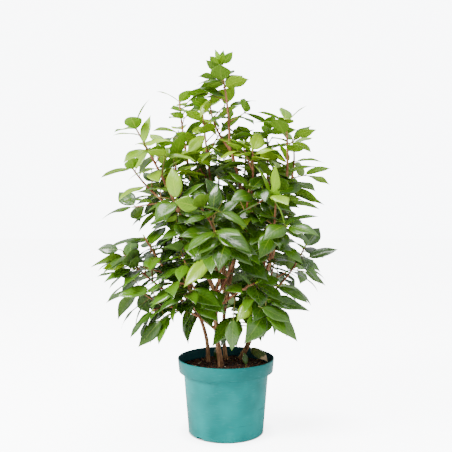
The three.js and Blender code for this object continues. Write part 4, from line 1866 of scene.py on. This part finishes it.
SOIL_FINISH = CrumbFinish("soil", (0.018, 0.008, 0.005), (0.075, 0.03, 0.017))
CRUMBS = CrumbFinish("soil_crumbs", (0.03, 0.012, 0.007), (0.12, 0.045, 0.025))
CHIPS = CrumbFinish("bark_chips", (0.11, 0.04, 0.018), (0.3, 0.14, 0.07), 0.8)
GRIT = CrumbFinish("pale_grit", (0.42, 0.33, 0.22), (0.75, 0.68, 0.56), 0.75)
LITTERS = (
    Litter(CRUMBS, 900, (1.0, 3.8), 0.8, 8101),
    Litter(CHIPS, 260, (1.4, 5.0), 0.35, 8203),
    Litter(GRIT, 70, (0.8, 2.4), 0.6, 8311),
)


@dataclass
class SoilBed:
    """The soil: an uneven bed, and crumbs, bark chips and pale grit lying on it.

    Attributes:
        relief, waves, crossings, calm: the height of its top and the waves that shape it.
        edge: how far below the soil level its rim and its litter lie.
        strewn_reach, wall_reach: how far out the litter is strewn, and how far out a bit may reach.
        fineness: how much commoner small bits are.
        stretch: how long, broad and tall bits are, each as its mean and its spread.
        perch: how far a bit's middle lies over the bed, as a share of its half height.
    """

    sizes: PotSizes = POT
    sides: int = 72
    rings: int = 18
    relief: float = 2.2
    waves: tuple[float, ...] = (24.0, 15.0, 9.0, 6.0, 4.0)
    crossings: int = 3
    calm: float = 4.0
    edge: float = 1.0
    strewn_reach: float = 100
    wall_reach: float = 102
    fineness: float = 2.4
    stretch: tuple[Span, ...] = ((1.15, 0.4), (0.85, 0.25), (1, 0.3))
    roughness: float = 0.22
    perch: float = 0.35
    tip: float = 0.5

    def outline(self) -> list[Span]:
        """Draws the bed's underside corner and its side, just inside the pot's wall.

        Returns:
            Its radii and heights.
        """
        s = self.sizes
        band_foot = s.height - s.band_height
        gap = s.wall + 2 * s.clearance
        return [
            (s.foot_radius - s.foot_rounding - s.wall, s.wall + s.clearance),
            (s.foot_radius - gap, s.foot_rounding + 2 * s.clearance),
            (s.neck_radius - gap, band_foot + s.wall),
            (s.band_foot_radius - gap - 1, band_foot + s.wall + s.clearance),
            (s.band_foot_radius - gap, s.soil_level - self.edge),
        ]

    def lift(self, x: float, y: float) -> float:
        """Works out how far the bed's top lies over its edge, from a few crossed waves.

        Args:
            x: the place across.
            y: the place in depth.

        Returns:
            The height.
        """
        dice = Dice(5501)
        total = 0.0
        for wave in self.waves:
            for _ in range(self.crossings):
                angle, phase = dice.turn(), dice.turn()
                along = x * math.cos(angle) + y * math.sin(angle)
                total += math.sin(2 * math.pi * along / wave + phase) * wave / self.waves[0]
        return self.relief * total / self.calm

    def build(self) -> Thing:
        """Models the bed, cuts its top into rings and makes it uneven.

        Returns:
            The bed.
        """
        outline = self.outline()
        radius, edge_height = outline[-1]
        obj = draw_up("soil_bed", self.sides, outline)
        for _ in range(self.rings - 1):
            bpy.ops.mesh.inset(thickness=radius / self.rings * METRE, depth=0, use_even_offset=False)
        end_editing()
        for vertex in obj.data.vertices:
            if vertex.co.z > (edge_height - self.edge / 2) * METRE:
                vertex.co.z += self.lift(vertex.co.x / METRE, vertex.co.y / METRE) * METRE
        for polygon in obj.data.polygons:
            polygon.use_smooth = True
        return obj

    def strew(self, litter: Litter) -> None:
        """Strews one kind of loose stuff over the bed and hands it over.

        Args:
            litter: the loose stuff.
        """
        dice = Dice(litter.seed)
        blank = model_crumb()
        heap = Heap(litter.finish.name, "tone")
        small, large = litter.sizes
        for _ in range(litter.count):
            far = self.strewn_reach * math.sqrt(dice.roll())
            angle = dice.turn()
            radius = small + (large - small) * dice.roll() ** self.fineness
            far = min(far, self.wall_reach - radius)
            x, y = far * math.cos(angle), far * math.sin(angle)
            stretch = np.array([dice.around(*side) for side in self.stretch]) * (1, 1, litter.flat)
            shape = blank.points * stretch * (1 + dice.many(len(blank.points), 0, self.roughness))[:, None]
            level = self.sizes.soil_level - self.edge + self.lift(x, y)
            middle = np.array((x, y, level + self.perch * litter.flat * radius))
            points = self._turned(shape, dice) * radius + middle
            heap.add(blank, points, dice.roll(), blank.charts[:, :2])
        obj = heap.build([litter.finish.build()])
        for polygon in obj.data.polygons:
            polygon.use_smooth = False
        hand_over(obj, "soil")

    def _turned(self, points: Array, dice: Dice) -> Array:
        """Turns a bit about the upright, and tips it a little.

        Args:
            points: its vertices.
            dice: the litter's numbers.

        Returns:
            The turned vertices.
        """
        turn, tip = dice.turn(), dice.around(0, self.tip)
        c, s = math.cos(turn), math.sin(turn)
        ct, st = math.cos(tip), math.sin(tip)
        spin = np.array(((c, -s, 0), (s, c, 0), (0, 0, 1)))
        lean = np.array(((1, 0, 0), (0, ct, -st), (0, st, ct)))
        return points @ (spin @ lean).T

    def dress(self, obj: Thing) -> None:
        """Gives the bed its soil, strews the loose stuff and hands all of it over.

        Args:
            obj: the bed.
        """
        obj.data.materials.append(SOIL_FINISH.build())
        hand_over(obj, "soil", "soil")
        for litter in LITTERS:
            self.strew(litter)


@dataclass
class Timber:
    """The stems and boughs, with their bark's relief.

    Attributes:
        ridges: the bark's long ridges, as how many go round and how long their bends are.
        relief: how far the bark rises and falls, as a share of the radius.
        collar, collar_reach: how much a bough thickens where it leaves its parent, and how far on.
        scar_swell, scar_round: how far a leaf scar stands proud, and the share that goes all round.
        lobe, lobe_recess: how far a foot stands out at its root lobes and draws in between them.
    """

    shrub: Shrub
    bark: Material
    stem_sides: int = 18
    bough_sides: int = 12
    fewest_rings: int = 6
    ring_gap: float = 3.0
    ridges: tuple[tuple[int, int], ...] = ((2, 47), (3, 31), (4, 19), (5, 12))
    relief: float = 0.07
    collar: float = 0.35
    collar_reach: float = 7.0
    scar_gap: float = 21.0
    scar_length: float = 1.9
    scar_swell: float = 0.13
    scar_round: float = 0.45
    lobes: int = 3
    lobe: float = 0.2
    lobe_recess: float = 0.22
    lobe_reach: float = 22.0

    def wrap(self, heap: Heap, limb: Limb, span: Span, sides: int, rings: int, seed: int) -> None:
        """Bends a tube along a limb and adds it to a heap.

        Args:
            heap: the heap.
            limb: the limb.
            span: the shares of the limb's length that it covers.
            sides: the tube's sides.
            rings: the tube's rings.
            seed: the seed of its relief.
        """
        blank = model_tube(sides, rings)
        x, y, z = blank.points.T
        share = span[0] + (span[1] - span[0]) * z
        turn = np.arctan2(y, x)
        radius = limb.radius(share)
        swell = 1 + self._bark_relief(share * limb.length, turn, limb, Dice(seed))
        rim = np.hypot(x, y) * radius * swell
        points = limb.point(share) + limb.outward(share, turn) * rim[:, None]
        round_share = np.arctan2(blank.charts[:, 1], blank.charts[:, 0]) / math.tau
        charts = np.stack((round_share, blank.charts[:, 2]), 1)
        heap.add(blank, points, self._youth(radius), charts)

    @staticmethod
    def _youth(radius: Array) -> Array:
        """Rates how young wood of each radius looks: 0 is grey, from 0.5 on brown, and 0.92 green."""
        return np.clip(1.25 - radius / 4.4, 0, 0.62) + 0.3 * np.clip((1.6 - radius) / 0.4, 0, 1)

    def _bark_relief(self, distance: Array, turn: Array, limb: Limb, dice: Dice) -> Array:
        """Works out the bark's long ridges, leaf scars, and the collar or root lobes at the foot.

        Args:
            distance: the distance from the limb's start.
            turn: the angle round it.
            limb: the limb.
            dice: the relief's numbers.

        Returns:
            The share by which the radius grows.
        """
        total = np.zeros_like(turn)
        for count, wave in self.ridges:
            phase, drift = dice.turn(), dice.turn()
            total += np.sin(count * turn + phase + np.sin(distance / wave + drift)) / count
        total *= self.relief
        place = (distance + dice.around(0, self.scar_gap / 2)) / self.scar_gap
        side = np.cos(turn - radians(SHRUB.leaf_turn.base) * np.round(place))
        from_scar = (place - np.round(place)) * self.scar_gap
        bulge = self.scar_round + (1 - self.scar_round) * side
        total += self.scar_swell * np.exp(-((from_scar / self.scar_length) ** 2)) * bulge
        if limb.flare:
            lobes = 0.5 + 0.5 * np.cos(self.lobes * turn + dice.turn())
            total += (self.lobe * lobes - self.lobe_recess) * np.exp(-distance / self.lobe_reach)
        else:
            total += self.collar * np.exp(-np.maximum(distance - limb.radii[0], 0) / self.collar_reach)
        return total

    def build(self) -> None:
        """Makes and hands over a piece for each stem and each bough."""
        rows = [(stem.name, stem.name, 1, self.stem_sides, 300 + i) for i, stem in enumerate(STEMS)]
        for i, plan in enumerate(SHOOTS):
            if plan.bare > 0:
                node = plan.name if plan.bare == 1 else "bough_" + plan.name
                rows.append((plan.name, node, plan.bare, self.bough_sides, 400 + i))
        for name, node, bare, sides, seed in rows:
            limb = self.shrub.limbs[name]
            rings = max(self.fewest_rings, round(limb.length * bare / self.ring_gap))
            heap = Heap("bark_" + node, "youth")
            self.wrap(heap, limb, (0, bare), sides, rings, seed)
            hand_over(heap.build([self.bark]), "bark", node)


@dataclass(frozen=True)
class TwigGrade:
    """How closely one order of twig is modelled.

    Attributes:
        bud: the size of its bud.
        seed_step: what is added to the dice for its relief.
    """

    sides: int
    ring_gap: float
    fewest_rings: int
    bud: float
    seed_step: int


SHOOT_GRADE = TwigGrade(9, 5, 6, 1.25, 0)
TWIG_GRADE = TwigGrade(7, 7, 4, 1.0, 5)
SPRIG_GRADE = TwigGrade(6, math.inf, 4, 0.75, 9)


@dataclass
class Foliage:
    """The twigs, leaf stalks, leaves and buds of every spray.

    Attributes:
        stations, columns: how many lengths and strips a leaf blade has.
        stalk_share, stalk_overlap: the shares of a leaf's length that are stalk, and stalk under blade.
        tooth: how far the teeth stand out, as a share of the half width.
        rib: how far the midrib stands out below, at the blade's foot.
        fold, cup, wave, curl, twist: how leaves are shaped, each as its mean and its spread.
    """

    shrub: Shrub
    timber: Timber
    stations: int = 16
    columns: int = 6
    stalk_share: float = 0.1
    stalk_overlap: float = 0.06
    stalk_sink: float = 0.3
    stalk_radii: Span = (1.25, 0.8)
    thickness: float = 0.5
    tooth: float = 0.01
    rib: float = 0.9
    fold: Span = (0.34, 0.16)
    cup: Span = (0.3, 0.2)
    wave: Span = (0.024, 0.016)
    curl: Span = (0.05, 0.05)
    twist: Span = (0, 0.28)
    bud_length: Span = (9.5, 1.5)
    bud_radius: float = 2.1
    bud_sink: float = 1.0
    bud_tone: Span = (0.85, 0.15)

    def build(self) -> None:
        """Makes and hands over the pieces of each spray."""
        self.blade = model_blade(self.stations, self.columns)
        self.stalk = model_tube(5, 3)
        self.bud = model_bud()
        self.finishes = [finish.build() for finish in (*LEAF_FINISHES, *UNDERSIDES_LIT_THROUGH)]
        buds = Heap("buds", "tone")
        for i, spray in enumerate(self.shrub.sprays):
            dice = Dice(7001 + 97 * i)
            twigs = Heap("twigs_" + spray.plan.name, "youth")
            leaves = Heap("leaves_" + spray.plan.name, "tone")
            self._add_twigs(twigs, buds, spray, dice)
            for leaf in spray.leaves:
                self.add_stalk(twigs, leaf)
                self.add_leaf(leaves, leaf, dice)
            node = "foliage_" + spray.plan.name
            hand_over(leaves.build(self.finishes), "foliage", node)
            hand_over(twigs.build([self.timber.bark]), "bark", node)
        hand_over(buds.build([self.finishes[KINDS.index(YOUNG)]]), "foliage")

    def _add_twigs(self, heap: Heap, buds: Heap, spray: Spray, dice: Dice) -> None:
        """Adds a spray's leafy shoot, twigs and sprigs, and the buds at their tips.

        Args:
            heap: the twigs' heap.
            buds: the buds' heap.
            spray: the spray.
            dice: the looks' numbers.
        """
        orders = ((SHOOT_GRADE, [spray.limb]), (TWIG_GRADE, spray.twigs), (SPRIG_GRADE, spray.sprigs))
        for grade, limbs in orders:
            foot = spray.plan.bare if grade is SHOOT_GRADE else 0
            for limb in limbs:
                rings = max(grade.fewest_rings, round(limb.length * (1 - foot) / grade.ring_gap))
                self.timber.wrap(heap, limb, (foot, 1), grade.sides, rings, dice.state + grade.seed_step)
                self._add_bud(buds, limb, grade.bud, dice)

    def _add_bud(self, heap: Heap, limb: Limb, scale: float, dice: Dice) -> None:
        """Adds the bud at a limb's tip.

        Args:
            heap: the buds' heap.
            limb: the limb.
            scale: its size beside the usual one.
            dice: the looks' numbers.
        """
        length = scale * dice.around(*self.bud_length)
        x, y, z = self.bud.points.T
        side = limb.outward(1, np.arctan2(y, x)) * (np.hypot(x, y) * scale * self.bud_radius)[:, None]
        points = limb.point(1) + limb.heading(1) * (z * length - self.bud_sink)[:, None] + side
        charts = self.bud.charts[:, :2] * 0.3 + 0.35
        heap.add(self.bud, points, dice.around(*self.bud_tone), charts)

    def add_stalk(self, heap: Heap, leaf: Leaf) -> None:
        """Adds a leaf's stalk, from inside its twig to the foot of its blade.

        Args:
            heap: the twigs' heap.
            leaf: the leaf.
        """
        x, y, z = self.stalk.points.T
        share = z * (self.stalk_share + self.stalk_overlap)
        height = -leaf.droop * leaf.length * share * share - self.stalk_sink
        start, end = self.stalk_radii
        radius = start + (end - start) * z
        points = leaf.root + leaf.along * (share * leaf.length)[:, None]
        points = points + leaf.across * (x * radius)[:, None] + leaf.up * (height + y * radius)[:, None]
        charts = self.stalk.charts[:, :2] * 0.5 + 0.5
        heap.add(self.stalk, points, 1.0, charts)

    @staticmethod
    def half_width(share: Array) -> Array:
        """Gives a blade's half width beside its greatest, from its foot at 0 to its pointed tip at 1."""
        return np.sin(math.pi * np.clip(share, 0, 1) ** 0.86) ** (0.72 + 0.5 * share)

    def add_leaf(self, heap: Heap, leaf: Leaf, dice: Dice) -> None:
        """Bends a blade into a leaf's own arch, fold and waves and adds it.

        Args:
            heap: the leaves' heap.
            leaf: the leaf.
            dice: the looks' numbers.
        """
        x, y, z = self.blade.points.T
        aside = np.abs(x)
        share = self.stalk_share + (1 - self.stalk_share) * y
        tooth = 1 + self.tooth * np.cos(math.pi * y * self.stations) * (aside > 0.99)
        half = 0.5 * leaf.width * self.half_width(y) * tooth
        offset = x * half
        fold, cup, wave = (dice.around(*shape) for shape in (self.fold, self.cup, self.wave))
        phase = dice.turn()
        curl, twist = (dice.around(*shape) for shape in (self.curl, self.twist))
        height = -leaf.droop * leaf.length * share * share - curl * leaf.length * y**5
        height += (fold * (aside - 0.45) - cup * (x * x - 0.3)) * half * (1 - 0.5 * y)
        height += wave * leaf.length * x * aside * np.sin(7 * y + phase) * np.sin(math.pi * y)
        height += twist * offset * y
        height += np.sign(z) * self.thickness / 2 - self.rib * (1 - y) * (aside < 0.05) * (z < 0)
        points = leaf.root + leaf.along * (share * leaf.length)[:, None]
        points = points + leaf.across * offset[:, None] + leaf.up * height[:, None]
        charts = np.stack(((self.blade.charts[:, 0] + 1) / 2, self.blade.charts[:, 1]), 1)
        tone = clip_to_one(dice.around(0.5, 0.5))
        heap.add(self.blade, points, tone, charts, KINDS.index(leaf.kind))


@dataclass
class SingleLeaves:
    """Leaves that were placed one by one, on short thin twigs.

    Attributes:
        twig_rise: how far a twig is bent up at mid-length.
    """

    foliage: Foliage
    name: str
    plans: tuple[PlacedLeaf, ...]
    seed: int
    twig_radii: Span = (1.3, 1.0)
    twig_rise: float = 3.0

    def build(self) -> None:
        """Makes and hands over the leaves and their twigs."""
        dice = Dice(self.seed)
        timber, wood = self.foliage.timber, self.foliage.shrub.wood
        twigs, leaves = Heap(self.name + "_twigs", "youth"), Heap(self.name + "_leaves", "tone")
        for plan in self.plans:
            leaf = plan.leaf()
            start = np.array(plan.twig, float) if plan.twig else wood.nearest(leaf.root)
            twig = Limb(start, leaf.root, SKY * self.twig_rise, self.twig_radii)
            timber.wrap(twigs, twig, (0, 1), sides=6, rings=6, seed=dice.state)
            self.foliage.add_stalk(twigs, leaf)
            self.foliage.add_leaf(leaves, leaf, dice)
        hand_over(leaves.build(self.foliage.finishes), "foliage")
        hand_over(twigs.build([timber.bark]), "bark")


@dataclass(frozen=True)
class Lamp:
    """A square soft light.

    Attributes:
        place, size, power: where it hangs and its side, both in metres, and its power in watts.
    """

    name: str
    place: Triple
    size: float
    power: float
    tint: Colour

    def hang(self, aim: Array) -> None:
        """Hangs the light up and points it.

        Args:
            aim: the place that it points at, in metres.
        """
        data = bpy.data.lights.new(self.name, "AREA")
        data.energy, data.size, data.color = self.power, self.size, self.tint
        lamp = bpy.data.objects.new(self.name, data)
        lamp.location = self.place
        x, y, z = aim - np.array(self.place)
        lamp.rotation_euler = (math.atan2(math.hypot(x, y), -z), 0, math.atan2(y, x) - math.pi / 2)
        bpy.context.scene.collection.objects.link(lamp)


@dataclass
class Studio:
    """The pale floor, the soft lights and the camera.

    Attributes:
        camera_dip: how far the camera looks down, in degrees.
        focal_share: the focal length beside the frame's width.
        surrounding, backdrop: how bright the room is to the shrub, and how bright it looks behind it.
        floor_glow, floor_bounce: how far the floor is lifted towards white, and how much light it gives.
    """

    camera_place: Triple = (0.0, -1.536, 0.537)
    camera_dip: float = 2.52
    focal_share: float = 678 / 452
    surrounding: float = 0.72
    backdrop: float = 9.0
    floor_glow: float = 7.9
    floor_bounce: float = 0.3
    floor_tint: Colour = (0.86, 0.865, 0.87)
    glow_tint: Colour = (0.97, 0.98, 1.0)
    room_tint: Colour = (0.95, 0.97, 1.0)
    aim: Triple = (0, 0, 0.45)
    lamps: tuple[Lamp, ...] = (
        Lamp("key", (-1.9, -1.2, 2.0), 1.0, 165, (1.0, 0.99, 0.97)),
        Lamp("top", (-0.1, 0.1, 2.4), 1.2, 70, (0.97, 0.99, 1.0)),
        Lamp("fill", (1.9, -0.9, 1.0), 1.6, 8, (0.95, 0.98, 1.0)),
    )

    def build(self) -> None:
        """Sets the floor, the world, the lights and the camera."""
        self._lay_floor()
        self._light_world()
        for lamp in self.lamps:
            lamp.hang(np.array(self.aim))
        self._place_camera()

    def _lay_floor(self) -> None:
        """Lays the floor."""
        deselect_all()
        bpy.ops.mesh.primitive_plane_add(size=14, location=(0, 0, -0.0004))
        floor = bpy.context.object
        floor.name = "floor"
        tints = {"base_color": self.floor_tint, "emission_color": self.glow_tint}
        surface = Surface("pale_floor", roughness=0.7, **tints)
        seen = surface.put("LightPath").outputs["Is Camera Ray"]
        shown = surface.times(self._floor_shade(surface), self.floor_glow)
        glow = surface.put("Mix", data_type="FLOAT", in_0=seen, in_2=self.floor_bounce, in_3=shown)
        surface.plug(emission_strength=glow.outputs[0])
        floor.data.materials.append(surface.material)

    def _floor_shade(self, nodes: Nodes) -> Socket:
        """The pot's faint shadow on the white floor: dark under it, soft round it and cast to the right.

        Args:
            nodes: the floor material's tree.

        Returns:
            The share of the floor's glow that is left.
        """
        place = nodes.place()
        foot = POT.foot_radius * METRE
        far = nodes.put("VectorMath", operation="LENGTH", in_0=place).outputs["Value"]
        under = nodes.between(far, foot - 0.001, foot + 0.001, 0.01, 1.0)
        contact = nodes.between(far, foot, foot + 0.03, 0.7, 1.0)
        aside = nodes.put("Mapping", in_0=place, in_1=(-0.62, -0.32, 0), in_3=(4.4, 8.0, 1.0)).outputs[0]
        reach = nodes.put("VectorMath", operation="LENGTH", in_0=aside).outputs["Value"]
        cast = nodes.between(reach, 0.2, 1.0, 0.82, 1.0)
        return nodes.times(under, nodes.times(contact, cast))

    def _light_world(self) -> None:
        """Sets an even white surrounding."""
        world = bpy.data.worlds.new("soft_white")
        bpy.context.scene.world = world
        world.use_nodes = True
        nodes = Nodes(world.node_tree)
        background = world.node_tree.nodes["Background"]
        seen = nodes.put("LightPath").outputs["Is Camera Ray"]
        nodes.fill(background.inputs[0], self.room_tint)
        nodes.fill(background.inputs[1], nodes.between(seen, 0.0, 1.0, self.surrounding, self.backdrop))

    def _place_camera(self) -> None:
        """Sets the camera at the photograph's viewing angle."""
        data = bpy.data.cameras.new("camera")
        data.sensor_width = 36
        data.lens = 36 * self.focal_share
        camera = bpy.data.objects.new("camera", data)
        camera.location = self.camera_place
        camera.rotation_euler = (radians(90 - self.camera_dip), 0, 0)
        bpy.context.scene.collection.objects.link(camera)
        bpy.context.scene.camera = camera


def main() -> None:
    """Builds the pot, the soil, the wood and the foliage, then the studio."""
    logging.basicConfig(level=logging.INFO, format="%(message)s")
    pot = PlasticPot()
    pot.dress(pot.build())
    bed = SoilBed()
    bed.dress(bed.build())
    shrub = Shrub()
    timber = Timber(shrub, BarkFinish().build())
    timber.build()
    foliage = Foliage(shrub, timber)
    foliage.build()
    SingleLeaves(foliage, "crown", CROWN_LEAVES, 9403).build()
    SingleLeaves(foliage, "foot", FOOT_LEAVES, 9203).build()
    Studio().build()


if __name__ == "__main__":
    main()
